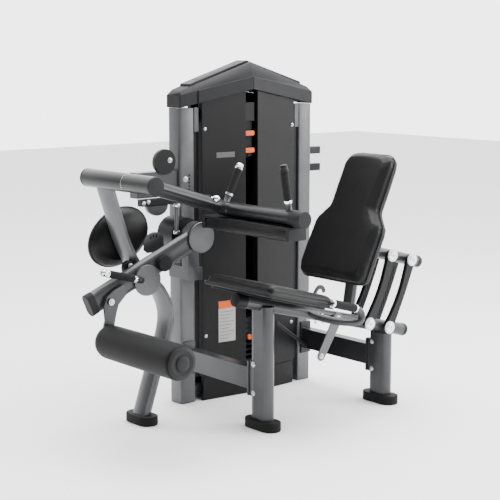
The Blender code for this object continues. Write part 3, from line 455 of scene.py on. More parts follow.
# ---------------------------------------------------------------- stage
def build_stage():
    mesh = bpy.data.meshes.new("floor")
    bm = bmesh.new()
    bmesh.ops.create_grid(bm, x_segments=1, y_segments=1, size=14)
    bm.to_mesh(mesh)
    bm.free()
    material, tree, shader = node_material("floor_pale", (0.95, 0.95, 0.95), 0.9)
    place = object_coordinates(tree)
    vary_colour(tree, shader, noise(tree, place, 0.6), (0.94, 0.94, 0.94), (0.96, 0.96, 0.96))
    mesh.materials.append(material)
    floor = bpy.data.objects.new("floor", mesh)
    bpy.context.scene.collection.objects.link(floor)
    floor.location.z = -0.0006

    world = bpy.data.worlds.new("studio")
    world.use_nodes = True
    tree = world.node_tree
    place = add_node(tree, "ShaderNodeTexCoord")
    toward = add_node(tree, "ShaderNodeVectorMath", operation="DOT_PRODUCT")
    toward.inputs[1].default_value = Vector((0.72, 0.55, 0.42)).normalized()
    tree.links.new(place.outputs["Generated"], toward.inputs[0])
    ramp = add_node(tree, "ShaderNodeValToRGB")
    ramp.color_ramp.elements[0].position = 0.42
    ramp.color_ramp.elements[0].color = (0.055, 0.055, 0.057, 1)
    ramp.color_ramp.elements[1].position = 0.86
    ramp.color_ramp.elements[1].color = (1, 1, 1, 1)
    span = add_node(tree, "ShaderNodeMapRange")
    span.inputs["From Min"].default_value = -1
    tree.links.new(toward.outputs["Value"], span.inputs["Value"])
    tree.links.new(span.outputs["Result"], ramp.inputs["Fac"])
    sky = tree.nodes["Background"]
    tree.links.new(ramp.outputs["Color"], sky.inputs["Color"])
    sky.inputs["Strength"].default_value = 4.2
    bpy.context.scene.world = world

    lights = (("key", (3.6, -3.0, 1.9), 1.4, 120), ("front", (-0.9, -4.6, 3.6), 2.2, 16),
              ("top", (0.3, -0.2, 5.2), 5.0, 520))
    for name, place, size, power in lights:
        lamp = bpy.data.lights.new(name, "AREA")
        lamp.size = size
        lamp.energy = power
        item = bpy.data.objects.new(name, lamp)
        item.location = place
        aim = Vector((0, 0, 0.8)) - Vector(place)
        item.rotation_euler = aim.to_track_quat("-Z", "Y").to_euler()
        bpy.context.scene.collection.objects.link(item)

    camera = bpy.data.cameras.new("camera")
    camera.sensor_width = CAMERA_SENSOR
    camera.lens = CAMERA_LENS
    item = bpy.data.objects.new("camera", camera)
    item.location = at(*CAMERA_AT)
    item.rotation_euler = (CAMERA_PITCH, 0, CAMERA_TURN)
    bpy.context.scene.collection.objects.link(item)
    bpy.context.scene.camera = item


# ---------------------------------------------------------------- cushions
def stuffed(name, outline, thickness, crown, place, material, body, sections=None, frames=18):
    """Foam cushion under a cover: swollen by cloth pressure, flat on its base."""
    bm = bmesh.new()
    rings = []
    if sections:
        for height, grow in sections:
            rings.append([bm.verts.new((a, b, height)) for a, b in outline(grow)])
    else:
        for height, inset in ((0.0, 0.003), (thickness * 0.55, 0.0), (thickness * 0.86, 0.004),
                              (thickness, 0.012)):
            ring = []
            for a, b in outline:
                ring.append(bm.verts.new((a - math.copysign(min(inset, abs(a) * 0.5), a),
                                          b - math.copysign(min(inset, abs(b) * 0.5), b), height)))
            rings.append(ring)
    loft(bm, rings)
    bmesh.ops.recalc_face_normals(bm, faces=bm.faces)
    mesh = bpy.data.meshes.new(name)
    bm.to_mesh(mesh)
    bm.free()
    item = bpy.data.objects.new(name, mesh)
    bpy.context.scene.collection.objects.link(item)
    remesh = item.modifiers.new("cells", "REMESH")
    remesh.mode = "VOXEL"
    remesh.voxel_size = 0.0065
    bake(item)
    relaxed = [v.co.copy() for v in item.data.vertices]
    cloth = item.modifiers.new("swell", "CLOTH")
    cloth.settings.use_pressure = True
    cloth.settings.uniform_pressure_force = 4.0
    cloth.settings.effector_weights.gravity = 0.0
    cloth.settings.quality = 5
    cloth.settings.tension_stiffness = 25
    cloth.settings.bending_stiffness = 2
    scene = bpy.context.scene
    for step in range(1, frames + 1):
        scene.frame_set(step)
    bake(item)
    scene.frame_set(1)
    for vertex, start in zip(item.data.vertices, relaxed):
        move = vertex.co - start
        if move.length > crown:
            move = move.normalized() * crown
        if start.z < 0.004:
            move = move * 0.0
        vertex.co = start + move
    item.data.transform(place)
    item.data.materials.clear()
    item.data.materials.append(material)
    item.data.shade_smooth()
    soften = item.modifiers.new("soft", "SUBSURF")
    soften.levels = 1
    soften.render_levels = 1
    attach(item, body)
    return item


def bake(item):
    """Applies every modifier of an object to its mesh."""
    graph = bpy.context.evaluated_depsgraph_get()
    graph.update()
    result = bpy.data.meshes.new_from_object(item.evaluated_get(graph))
    item.modifiers.clear()
    item.data = result


def placing(origin, along, up):
    """Matrix that puts local x along one direction and local z along another."""
    x_axis = Vector(along).normalized()
    z_axis = Vector(up).normalized()
    y_axis = z_axis.cross(x_axis)
    matrix = Matrix((x_axis, y_axis, z_axis)).transposed().to_4x4()
    matrix.translation = origin
    return matrix


def piping(name, outline, place, height, radius, material, body):
    """Sewn welt that follows a cushion's outline."""
    path = [place @ Vector((a, b, height)) for a, b in outline]
    bm = bmesh.new()
    rings = []
    for i, point in enumerate(path):
        along = (path[(i + 1) % len(path)] - path[i - 1]).normalized()
        up = place.to_3x3() @ Vector(UP)
        across = along.cross(up).normalized()
        rings.append([bm.verts.new(point + across * radius * c + up * radius * s)
                      for c, s in ellipse(1, 1, 10)])
    bridge(bm, rings, closed=True)
    return publish(name, bm, material, body)


def stitches(name, outline, place, height, spacing, material, body):
    """Row of short thread stitches beside a seam, as one mesh."""
    path = [place @ Vector((a, b, height)) for a, b in outline]
    path.append(path[0])
    bm = bmesh.new()
    up = place.to_3x3() @ Vector(UP)
    travelled, wanted = 0.0, 0.0
    for start, end in zip(path, path[1:]):
        length = (end - start).length
        if length < 1e-6:
            continue
        along = (end - start) / length
        out = along.cross(up).normalized()
        while wanted < travelled + length:
            point = start + along * (wanted - travelled)
            rings = []
            for distance, size in ((-0.0022, 0.5), (-0.0008, 1.0), (0.0008, 1.0), (0.0022, 0.5)):
                rings.append([bm.verts.new(point + along * distance + out * 0.0006 * size * c
                                           + up * 0.0006 * size * s) for c, s in ellipse(1, 1, 6)])
            loft(bm, rings)
            wanted += spacing
        travelled += length
    return publish(name, bm, material, body)


def build_seat():
    c, s = math.cos(RAIL_SLOPE), math.sin(RAIL_SLOPE)
    length, width = SEAT_LENGTH, SEAT_WIDTH
    middle = SEAT_FRONT + length / 2
    base_height = RAIL_RADIUS + 0.0092
    origin = at(middle * c + base_height * s, 0, RAIL_HEIGHT - middle * s + base_height * c)
    place = placing(origin, (c, 0, -s), (s, 0, c))
    tray = rounded(-length / 2 + 0.002, length / 2 - 0.002, -width / 2 + 0.002, width / 2 - 0.002,
                   0.022, 8)
    bm = bmesh.new()
    rings = [[bm.verts.new(place @ Vector((a * k, b * k, h))) for a, b in tray]
             for h, k in ((0.0, 0.965), (0.004, 0.99), (0.013, 1.0))]
    loft(bm, rings)
    shell = publish("seat_tray", bm, BLACK, "frame", 0.0015)
    outline = rounded(-length / 2 + 0.006, length / 2 - 0.006, -width / 2 + 0.005,
                      width / 2 - 0.005, 0.022, 8)
    lifted = place @ Matrix.Translation((0, 0, 0.0135))
    pad = stuffed("seat_cushion", outline, 0.030, 0.009, lifted, VINYL, "frame")
    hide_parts("seat_pad")
    seam = rounded(-length / 2 + 0.003, length / 2 - 0.003, -width / 2 + 0.003, width / 2 - 0.003,
                   0.022, 10)
    # welt in the lighter vinyl: painted light along the side of the seat cushion
    welt = piping("seat_welt", seam, place, 0.0145, 0.0022, VINYL_PAINTED_LIGHT, "frame")


def back_outline(grow):
    """Backrest outline in height and width: wide low part, shoulders, narrow top."""
    low, top, height, middle = 0.180, 0.118, 0.550, 0.275
    half = [(0.0, low - 0.034), (0.003, low - 0.018), (0.012, low - 0.004), (0.028, low),
            (0.120, low), (0.215, low), (0.243, low - 0.006), (0.270, low - 0.030),
            (0.302, top + 0.006), (0.318, top + 0.001), (0.400, top + 0.001), (0.500, top - 0.002),
            (0.526, top - 0.008), (0.543, top - 0.026), (height, top - 0.055)]
    points = [(up - middle, -w) for up, w in half] + [(up - middle, w) for up, w in reversed(half)]
    return [(a * (1 + grow / middle), b + math.copysign(grow, b)) for a, b in points]


def build_backrest():
    c, s = math.cos(BACK_LEAN), math.sin(BACK_LEAN)
    place = placing(back_point(0.275, 0.0795, 0), (s, 0, c), (-c, 0, s))
    bm = bmesh.new()
    rings = [[bm.verts.new(place @ Vector((a, b, height))) for a,
              b in back_outline(grow)] for height, grow in ((0.0, 0.004), (0.005, 0.014),
                                                            (0.012, 0.019), (0.026, 0.0205),
                                                            (0.030, 0.019))]
    loft(bm, rings)
    shell = publish("back_shell", bm, CAP_GREY, "back", 0.001, smooth=math.radians(50))
    sections = [(0.0, 0.0205), (0.016, 0.0225), (0.026, 0.0190), (0.041, 0.0040), (0.0465, -0.0040)]
    pad = stuffed("back_cushion", back_outline, 0.0465, 0.006,
                  place @ Matrix.Translation((0, 0, 0.0310)), VINYL, "back", sections)
    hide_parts("back_pad")
    # welt and stitches in the lighter vinyl: painted light along the side of the backrest
    welt = piping("back_welt", back_outline(0.0225), place, 0.0315, 0.0022, VINYL_PAINTED_LIGHT, "back")
    front = back_outline(0.0015)
    thread = stitches("back_stitches", front, place, 0.0785, 0.0085, VINYL_PAINTED_LIGHT, "back")


def build_thigh_pad():
    y0, y1 = THIGH_PAD_Y
    middle, half = (y0 + y1) / 2, (y1 - y0) / 2
    x, z = THIGH_BAR
    top = z - 0.0315
    place = placing(at(x, middle, top - 0.012), FAR, (0, 0, -1))
    outline = rounded(-half + 0.004, half - 0.004, -0.046, 0.046, 0.012, 6)
    pad = stuffed("thigh_cushion", outline, 0.044, 0.006, place, VINYL, "thigh")
    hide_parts("thigh_pad")
    board = rounded(x - 0.049, x + 0.049, y0 + 0.001, y1 - 0.001, 0.012, 6)
    plate = prism("thigh_board", board, "Z", top - 0.013, top - 0.0006, BLACK, "thigh", 0.002)
    lip = rounded(x - 0.0505, x + 0.0505, y1 - 0.016, y1 + 0.0005, 0.006, 4)
    for name, shift in (("thigh_end_far", 0.0), ("thigh_end_near", y0 - y1 + 0.0155)):
        moved = [(a, b + shift) for a, b in lip]
        prism(name, moved, "Z", top - 0.056, top - 0.004, CAP_GREY, "thigh", 0.004)


def build_roller():
    x, z = ROLLER
    y0, y1 = ROLLER_Y
    length = y1 - y0
    profile = [(0.0108, 0.0), (0.052, 0.0), (0.060, 0.001), (0.066, 0.005), (0.0692, 0.012)]
    for i in range(13):
        t = i / 12
        profile.append((0.0696 + 0.0010 * math.sin(math.pi * t), 0.018 + (length - 0.040) * t))
    profile += [(0.0690, length - 0.014), (0.0655, length - 0.006), (0.058, length - 0.001),
                (0.050, length), (0.0108, length)]
    foam = lathe("roller_foam", profile, (x, y0, z), FAR, FOAM, "roller", 48, bored=True)
    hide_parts("foam_roller")
    rim = [(0.0112, -0.0030), (0.046, -0.0030), (0.0485, -0.0042), (0.051, -0.0042),
           (0.0535, -0.0030), (0.060, -0.0018), (0.0640, 0.0006), (0.0640, 0.0022),
           (0.0112, 0.0022)]
    cap = lathe("roller_end_near", rim, (x, y0 - 0.0006, z), FAR, CAP_GREY, "roller", 48,
                bored=True)
    far = lathe("roller_end_far", [(r, -d) for r, d in rim][::-1], (x, y1 + 0.0002, z), FAR,
                CAP_GREY, "roller", 48, bored=True)
    button = lathe("axle_cover", [(0.0302, 0.0), (0.0302, -0.002), (0.028, -0.0042),
                                  (0.016, -0.0058), (0.002, -0.0062)], (x, y0 - 0.0046, z), FAR,
                   CAP_GREY, "link", 32)


# ---------------------------------------------------------------- tower trim
def build_stack():
    """Separate cast plates with rounded edges in place of the plain blocks."""
    for node in ("resting_plates", "lifted_plates"):
        low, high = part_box(node)
        low, high = low - ORIGIN, high - ORIGIN
        top = high.z if node == "resting_plates" else high.z - 0.030
        count = max(round((top - low.z) / PLATE_PITCH), 1)
        step = (top - low.z) / count
        outline = rounded(low.x, high.x, low.y, high.y, 0.008, 4)
        for i in range(count):
            bottom = low.z + i * step
            plate = prism(f"{node}_{i + 1}", outline, "Z", bottom + 0.0006, bottom + step - 0.0010,
                          PLATES, BODY_OF[node], 0.002)
            if i == 0:
                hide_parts(node)
    head = lathe("stack_head", [(0.016, 0), (0.016, 0.016), (0.012, 0.024), (0.005, 0.029)],
                 (TOWER_X, TOWER_Y, top), UP, BOLT, "stack")


def roof_deck_z(x):
    share = 1 - abs(x - TOWER_X) / TOWER_HALF
    return 1.4114 + 0.1206 * share


def station_piece(name, stations, material, body, bevel=0.0015):
    """Loft through closed four-corner sections, one per station."""
    bm = bmesh.new()
    rings = [[bm.verts.new(at(*corner)) for corner in section] for section in stations]
    loft(bm, rings)
    return publish(name, bm, material, body, bevel)


def build_roof():
    refined("roof_cap", ROOF, 0.004)
    x0, x1 = TOWER_X - TOWER_HALF, TOWER_X + TOWER_HALF
    for side, x_start in ((1, x0), (-1, x1)):
        label = "left" if side == 1 else "right"
        # proud fascia panel between the corner caps
        stations = []
        for x in (x_start + side * 0.092, TOWER_X):
            y = front_face_y(x) - 0.006
            low, high = roof_edge_z(x) + 0.001, roof_edge_z(x) + 0.058
            stations.append([(x, y - 0.005, low), (x, y + 0.012, low), (x, y + 0.012, high + 0.004),
                             (x, y - 0.004, high)])
        station_piece("roof_fascia_" + label, stations, ROOF, "frame", 0.002)
        # deck strip in roof grey, and a narrower black strip along it as the recess: painted shade in the
        # recess
        for name, inset, reach, width, rise, material in (
                ("roof_deck_", 0.062, 0.0, 0.036, 0.009, ROOF),
                ("roof_recess_painted_shade_", 0.120, 0.050, 0.020, 0.0105, BLACK)):
            stations = []
            for x in (x_start + side * inset, TOWER_X - side * reach):
                z = roof_deck_z(x)
                stations.append([(x, TOWER_Y - width, z - 0.004), (x, TOWER_Y + width, z - 0.004),
                                 (x, TOWER_Y + width, z + rise), (x, TOWER_Y - width, z + rise)])
            station_piece(name + label, stations, material, "frame", 0.003)
        # light tab under the roof, between upright and shroud
        a, b = sorted((x_start + side * 0.0795, x_start + side * 0.1055))
        tab = slab("roof_tab_" + label, (a, b), (0.5205, 0.5265), (1.228, 1.338), FRAME_GREY,
                   "frame")
        # return strip that closes the gap behind the tab
        strip = slab("gap_strip_" + label, (a, b + 0.004 if side == 1 else b), (0.5310, 0.5340),
                     (0.112, 1.334), BLACK, "frame")


def panel_point(x, z, proud):
    return (x, front_face_y(x) - proud, z)


def panel_strip(name, start, end, width, material, proud=0.0012):
    """Flat strip laid on the slanted shroud face."""
    (xa, za), (xb, zb) = start, end
    run = Vector((xb - xa, zb - za)).normalized()
    side = Vector((-run.y, run.x)) * width / 2
    stations = []
    for x, z in (start, end):
        stations.append([panel_point(x + side.x, z + side.y, -0.001),
                         panel_point(x - side.x, z - side.y, -0.001),
                         panel_point(x - side.x, z - side.y, proud),
                         panel_point(x + side.x, z + side.y, proud)])
    strip = station_piece(name, stations, material, "frame", 0.0)
    return strip


def build_panels():
    # blank instruction plates on the left panel
    panel_strip("plate_body", (0.204, 0.262), (0.204, 0.418), 0.092, LABEL_PALE)
    panel_strip("plate_head", (0.204, 0.419), (0.204, 0.452), 0.092, ORANGE)
    for i in range(9):
        z = 0.402 - i * 0.0155
        panel_strip(f"plate_line_{i + 1}", (0.168, z), (0.240 - 0.012 * (i % 3), z), 0.0022,
                    LABEL_GREY, 0.0016)
    panel_strip("upper_plate", (0.150, 1.121), (0.248, 1.121), 0.024, LABEL_GREY)
    # pressed grooves of the right panel
    panel_strip("groove_upper", (0.405, 0.700), (0.560, 0.820), 0.013, BLACK, 0.0008)
    panel_strip("groove_lower", (0.425, 0.250), (0.560, 0.355), 0.013, BLACK, 0.0008)
    for x, z in ((0.090, 0.755), (0.090, 0.300), (0.603, 0.755), (0.603, 0.300), (0.090, 1.24),
                 (0.603, 1.24)):
        bolt(f"panel_bolt_{int(x * 1000)}_{int(z * 1000)}", (x, front_face_y(x), z), NEAR,
                     "frame", 0.0058)
    # row of small dark marks beside the stack
    for i in range(14):
        z = 0.150 + i * PLATE_PITCH
        panel_strip(f"stack_mark_{i + 1}", (0.296, z), (0.302, z), 0.006, BLACK, 0.0010)


def build_upright_fasteners():
    spots = (((0.012, 0.520, 0.640), NEAR), ((0.012, 0.520, 0.165), NEAR),
             ((0.720, 0.520, 0.420), NEAR), ((0.720, 0.520, 0.290), NEAR),
             ((-0.012, 0.520, 1.022), NEAR), ((-0.024, 0.520, 0.640), NEAR),
             ((-0.043, 0.565, 1.040), (-1, 0, 0)), ((-0.043, 0.565, 0.970), (-1, 0, 0)))
    for i, (place, axis) in enumerate(spots):
        bolt(f"upright_bolt_{i + 1}", place, axis, "frame", 0.0095)
    # holes in the upright drawn as black discs: painted shade inside the holes
    for i in range(5):
        hole = lathe(f"upright_hole_{i + 1}", [(0.0046, 0.0), (0.0046, 0.0009), (0.0040, 0.0011),
                                               (0.0005, 0.0011)], (0.008, 0.520, 1.038 - 0.016 * i),
                     NEAR, BLACK, "frame", 16)
    # bolts on the flanks of both posts
    for name, x, zs in (("front", 0.0, (0.150, 0.275)), ("rear", REAR_POST_X, (0.150, 0.275))):
        for i, z in enumerate(zs):
            for side in (-1, 1):
                nut = bolt(f"{name}_post_bolt_{i + 1}_{'a' if side < 0 else 'b'}",
                           (x + side * POST_HALF_X, 0.030, z), (side, 0, 0), "frame", 0.0085)


def build_pulley_guards():
    rim = [(0.002, 0.0), (0.049, 0.0), (0.054, 0.003), (0.056, 0.009), (0.056, 0.026),
           (0.002, 0.026)]
    guard = lathe("guide_pulley_cover", [(r, -d) for r, d in rim], (-0.117, 0.553, 1.104), FAR,
                  BLACK, "frame", 48)
    bolt("guide_pulley_bolt", (-0.092, 0.527, 1.110), NEAR, "frame", 0.0085)
    half = [(-0.169 + 0.056 * math.cos(a), 0.918 - 0.046 * math.sin(a))
            for a in (math.pi * i / 24 for i in range(25))]
    low = prism("bracket_guard", half, "Y", 0.512, 0.534, FRAME_GREY, "frame", 0.003)
    arm = slab("bracket_shelf", (-0.262, -0.052), (0.500, 0.535), (0.9185, 0.949), BLACK, "frame",
               0.003)
    for i, (x, z) in enumerate(((-0.252, 0.934), (-0.228, 0.938))):
        bolt(f"shelf_bolt_{i + 1}", (x, 0.500, z), NEAR, "frame", 0.007)


def build_stop_rod():
    x, y = -0.166, 0.380
    rod = lathe("stop_rod", [(0.0085, 0.0), (0.0085, 0.110), (0.0105, 0.112), (0.0105, 0.126)],
                (x, y, 0.806), UP, FRAME_LIGHT, "frame", 28)
    for i, z in enumerate((0.808, 0.925)):
        ring = [(0.0088, 0.0), (0.0135, 0.0), (0.0145, 0.002), (0.0145, 0.011), (0.0135, 0.013),
                (0.0088, 0.013)]
        lathe(f"stop_collar_{i + 1}", ring, (x, y, z), UP, CHROME, "frame", 32, bored=True)
    outer = []
    for i in range(17):
        angle = math.radians(150 - 105 * i / 16)
        outer.append((-0.283 + 0.062 * math.cos(angle), 0.765 + 0.060 * math.sin(angle)))
    outline = outer + [(-0.233, 0.752), (-0.261, 0.738), (-0.321, 0.738), (-0.339, 0.752)]
    sector = prism("stop_sector", outline, "Y", 0.3785, 0.3845, FRAME_GREY, "frame", 0.0012)
    # slots drawn as thin black shapes on the sector's face: painted shade inside the slots
    for i in range(3):
        angle = math.radians(118 - 20 * i)
        x, z = -0.283 + 0.044 * math.cos(angle), 0.765 + 0.044 * math.sin(angle)
        slot = [(x + a, z + b) for a, b in stadium(0.0036, 0.0080, 6)]
        prism(f"sector_slot_painted_shade_{i + 1}", slot, "Y", 0.3776, 0.3790, BLACK, "frame", 0.0)


# ---------------------------------------------------------------- swinging arm
def build_arm_trim():
    x, z = KNEE
    rim = [(0.069, 0.0), (0.069, 0.003), (0.002, 0.003)]
    lathe("hub_shadow_ring", rim, (x, ARM_NEAR_Y, z), NEAR, BLACK, "arm", 48)
    cover = [(0.067, 0.003), (0.067, 0.010), (0.0655, 0.0118), (0.060, 0.0125), (0.002, 0.0132)]
    lathe("hub_cover", cover, (x, ARM_NEAR_Y, z), NEAR, FRAME_LIGHT, "arm", 56)
    run = Vector((ARM_TIP[0] - x, 0, ARM_TIP[1] - z)).normalized()
    middle = (ARM_NEAR_Y + ARM_FAR_Y) / 2
    start = (ARM_TIP[0] - run.x * 0.030, middle, ARM_TIP[1] - run.z * 0.030)
    end = (ARM_TIP[0] + run.x * 0.0045, middle, ARM_TIP[1] + run.z * 0.0045)
    cap = sweep("arm_end_cap", (start, end), stadium(0.0242, 0.0489, 10), FAR, CAP_GREY, "arm",
                0.003)
    for name, share, radius in (("arm_button", 0.30, 0.0135), ("arm_pinhole", 0.40, 0.0035)):
        place = (x + (ARM_TIP[0] - x) * share, ARM_NEAR_Y, z + (ARM_TIP[1] - z) * share)
        ring = [(radius, 0.0), (radius, 0.0012), (radius * 0.86, 0.0022), (radius * 0.80, 0.0010),
                (radius * 0.05, 0.0012)]
        lathe(name, ring, place, NEAR, FRAME_GREY, "arm", 32)
    # bolt of the roller link
    bolt("link_bolt_head", (LINK_BOLT[0], 0.2655, LINK_BOLT[1]), NEAR, "arm", 0.0100)
    disc = [(0.0655, 0.0), (0.0655, 0.0020), (0.0640, 0.0034), (0.0200, 0.0036), (0.002, 0.0036)]
    lathe("disc_face", disc, (DISC[0], ARM_NEAR_Y - 0.0084, DISC[1]), NEAR, FRAME_LIGHT,
                  BODY_OF["adjuster_disc"], 56)
    ribs = [(0.0335, 0.0), (0.0335, 0.020), (0.030, 0.0235), (0.022, 0.0245), (0.002, 0.025)]
    knob = lathe("knob_cap", ribs, (KNOB[0], ARM_NEAR_Y - 0.0085, KNOB[1]), NEAR, RUBBER,
                 BODY_OF["arm_knob"], 40)
    for i in range(18):
        angle = math.tau * i / 18
        rib = lathe(f"knob_rib_{i + 1}", [(0.0016, 0.0), (0.0022, 0.002), (0.0022, 0.018),
                                          (0.0012, 0.021)], (KNOB[0] + 0.0332 * math.cos(angle),
                                                             ARM_NEAR_Y - 0.0095, KNOB[1]
                                                             + 0.0332 * math.sin(angle)), NEAR,
                    RUBBER, BODY_OF["arm_knob"], 8)


def build_start_handle():
    root, tip = Vector((-0.440, 0, 0.652)), Vector((-0.600, 0, 0.696))
    y = ARM_NEAR_Y - 0.0244
    run = (tip - root).normalized()
    body = BODY_OF["start_handle"]
    length = (tip - root).length
    base = (root.x, y, root.z)
    grip = [(0.0125, 0.030), (0.0150, 0.032), (0.0155, 0.040)]
    for i in range(9):
        t = 0.044 + (length - 0.060) * i / 9
        grip += [(0.0158, t), (0.0150, t + 0.0025), (0.0158, t + 0.005)]
    grip += [(0.0152, length - 0.010), (0.0120, length - 0.008)]
    sleeve = lathe("start_grip", grip, base, run, RUBBER, body, 32)
    end = [(0.0125, length - 0.009), (0.0165, length - 0.007), (0.0165, length - 0.002),
           (0.0140, length + 0.001), (0.0155, length + 0.010), (0.0150, length + 0.022),
           (0.0110, length + 0.029), (0.0015, length + 0.031)]
    lathe("start_grip_tip", end, base, run, CHROME, body, 32)
    neck = [(0.0100, 0.010), (0.0125, 0.013), (0.0145, 0.019), (0.0145, 0.028), (0.0120, 0.031)]
    lathe("start_grip_neck", neck, base, run, CHROME, body, 32)
    boss = [(0.0125, 0.0), (0.0125, 0.018), (0.0110, 0.020), (0.002, 0.0205)]
    lathe("start_pivot_boss", boss, (root.x + 0.016, ARM_NEAR_Y - 0.012, root.z - 0.006),
                  NEAR, FRAME_LIGHT, BODY_OF["adjuster_disc"], 32)


# ---------------------------------------------------------------- thigh arm
def grip_on(name, foot, top, body, chrome_top):
    foot, top = Vector(foot), Vector(top)
    run = (top - foot).normalized()
    length = (top - foot).length
    stem = [(0.0150, -0.006), (0.0150, 0.003), (0.0128, 0.006), (0.0128, 0.034)]
    lathe(name + "_stem", stem, foot, run, FRAME_GREY, body, 36)
    ring = [(0.0130, 0.033), (0.0160, 0.034), (0.0168, 0.037), (0.0168, 0.043), (0.0130, 0.046)]
    lathe(name + "_ferrule", ring, foot, run, CHROME, body, 36)
    grip = [(0.0120, 0.044), (0.0150, 0.045), (0.0160, 0.052)]
    rings = 11
    for i in range(rings):
        t = 0.056 + (length - 0.090) * i / rings
        grip += [(0.0160, t), (0.0152, t + 0.0022), (0.0160, t + 0.0044)]
    grip += [(0.0165, length - 0.026), (0.0150, length - 0.020), (0.0115, length - 0.019)]
    lathe(name + "_sleeve", grip, foot, run, RUBBER, body, 36)
    cap = [(0.0115, length - 0.021), (0.0168, length - 0.019), (0.0168, length - 0.010),
           (0.0140, length - 0.007), (0.0160, length - 0.001), (0.0125, length + 0.006),
           (0.0015, length + 0.008)]
    lathe(name + "_cap", cap, foot, run, CHROME if chrome_top else BLACK, body, 36)


def build_thigh_arm():
    x, z = CROSS
    near, seam, far = CROSS_Y
    radius = CROSS_RADIUS
    profile = [(radius - 0.010, near - 0.0002), (radius - 0.003, near + 0.0005),
               (radius, near + 0.004), (radius, seam - 0.0015), (radius - 0.002, seam - 0.0004)]
    bar = lathe("cross_sleeve", profile, (x, 0, z), FAR, BAR, "thigh", 48)
    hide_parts("thigh_arm")
    cap = [(radius + 0.0006, near + 0.010), (radius + 0.0006, near + 0.001),
           (radius - 0.002, near - 0.0020), (radius * 0.7, near - 0.0030), (0.002, near - 0.0032)]
    lathe("cross_cap_near", cap, (x, 0, z), FAR, CAP_GREY, "thigh", 48)
    lathe("cross_fixed", [(0.0384, seam + 0.0010), (0.0386, seam + 0.003),
                                  (0.0386, far - 0.014), (0.0384, far - 0.011)], (x, 0, z), FAR,
                  BAR, "frame", 48)
    cap = [(0.0386, far - 0.012), (0.0386, far - 0.002), (0.0350, far + 0.0018),
           (0.002, far + 0.0020)]
    lathe("cross_cap_far", cap, (x, 0, z), FAR, CAP_GREY, "frame", 48)
    ring = [(0.0330, seam - 0.0007), (0.0383, seam - 0.0005), (0.0383, seam + 0.0005),
            (0.0330, seam + 0.0007)]
    lathe("cross_seam_ring", ring, (x, 0, z), FAR, CHROME, "frame", 48, bored=True)

    bx, bz = THIGH_BAR
    slope = (bz - z) / (bx - x)
    start_y, end_y, last = 0.088, 0.146, -0.349
    route = [(bx - 0.050, end_y, bz - 0.050 * slope), (bx - 0.016, end_y - 0.010, bz + 0.003),
             (bx, end_y - 0.036, bz), (bx, end_y - 0.086, bz)]
    first = (x + 0.016, start_y, z + 0.016 * slope)
    tube = sweep("thigh_tube", [first] + smooth_path(route, 8) + [(bx, -0.280, bz)],
                 ellipse(0.031, 0.031, 36), UP, BAR, "thigh")
    cap = [(0.0312, 0.0), (0.0342, -0.0005), (0.0342, -0.0715), (0.0332, -0.0735), (0.002, -0.0745)]
    lathe("thigh_bar_cap", cap, (bx, last + 0.074, bz), FAR, CAP_GREY, "thigh", 48)
    top = bz + 0.031
    grip_on("grip_far", (bx - 0.012, 0.136, top - 0.004), (bx + 0.060, 0.130, top + 0.150), "thigh",
            True)
    grip_on("grip_near", (bx - 0.002, -0.255, top - 0.004), (bx - 0.032, -0.255, top + 0.176),
            "thigh", False)
    pin = [(0.0075, 0.0), (0.0075, 0.018), (0.0100, 0.020), (0.0135, 0.027), (0.0148, 0.034),
           (0.0135, 0.041), (0.0085, 0.047), (0.0015, 0.049)]
    lathe("pull_pin", pin, (bx - 0.105, 0.135, bz + 0.052), (0.7, -0.55, -0.05), CHROME,
                  "thigh", 32)
    stem = slab("pull_pin_block", (bx - 0.125, bx - 0.098), (0.122, 0.152),
                (bz + 0.018, bz + 0.066), BLACK, "thigh", 0.003)


# ---------------------------------------------------------------- backrest linkage
def link_base_x(kind):
    return LINK_LOWER_X[0] if kind == "front" else LINK_LOWER_X[1]


def build_links():
    for kind in ("front", "rear"):
        body = kind + "_links"
        for side in ("near", "far"):
            refined(f"link_{kind}_{side}", LINK, 0.0022)
        for level, share in (("lower", 0.0), ("upper", 1.0)):
            node = f"pivot_pin_{level}_{kind}"
            refined(node, CHROME, 0.0006)
            x = link_base_x(kind) + LINK_VECTOR[0] * share
            z = rail_z(link_base_x(kind)) + LINK_VECTOR[1] * share
            owner = BODY_OF[node]
            for sign, side in ((-1, "near"), (1, "far")):
                rim = [(0.0285, 0.0), (0.0285, 0.0040), (0.0268, 0.0062), (0.0200, 0.0070),
                       (0.0195, 0.0056), (0.0110, 0.0056), (0.002, 0.0058)]
                cap = lathe(f"{node}_cap_{side}", rim, (x, sign * 0.0575, z), (0, sign, 0), WHITE,
                            owner, 40)
                bolt(f"{node}_bolt_{side}", (x, sign * 0.0630, z), (0, sign, 0), owner,
                             0.0072)
        # moulded lattice on the faces between the link pairs
        x0, z0 = link_base_x(kind), rail_z(link_base_x(kind))
        run = Vector((LINK_VECTOR[0], LINK_VECTOR[1]))
        length = run.length
        run.normalize()
        across = Vector((-run.y, run.x))
        cells = 9
        for i in range(cells):
            a = 0.045 + (length - 0.090) * i / cells
            b = 0.045 + (length - 0.090) * (i + 1) / cells
            for k, (sa, sb) in enumerate(((-1, 1), (1, -1))):
                points = []
                for t, s in ((a, sa), (b, sb)):
                    bow = 0.012 * math.sin(math.pi * t / length)
                    c = Vector((x0, z0)) + run * t - across * bow + across * 0.0095 * s
                    points.append((c.x, 0.0363, c.y))
                rib = sweep(f"{kind}_lattice_{i + 1}_{k + 1}", points, ellipse(0.0013, 0.0012, 6),
                            FAR, CAP_GREY, body)


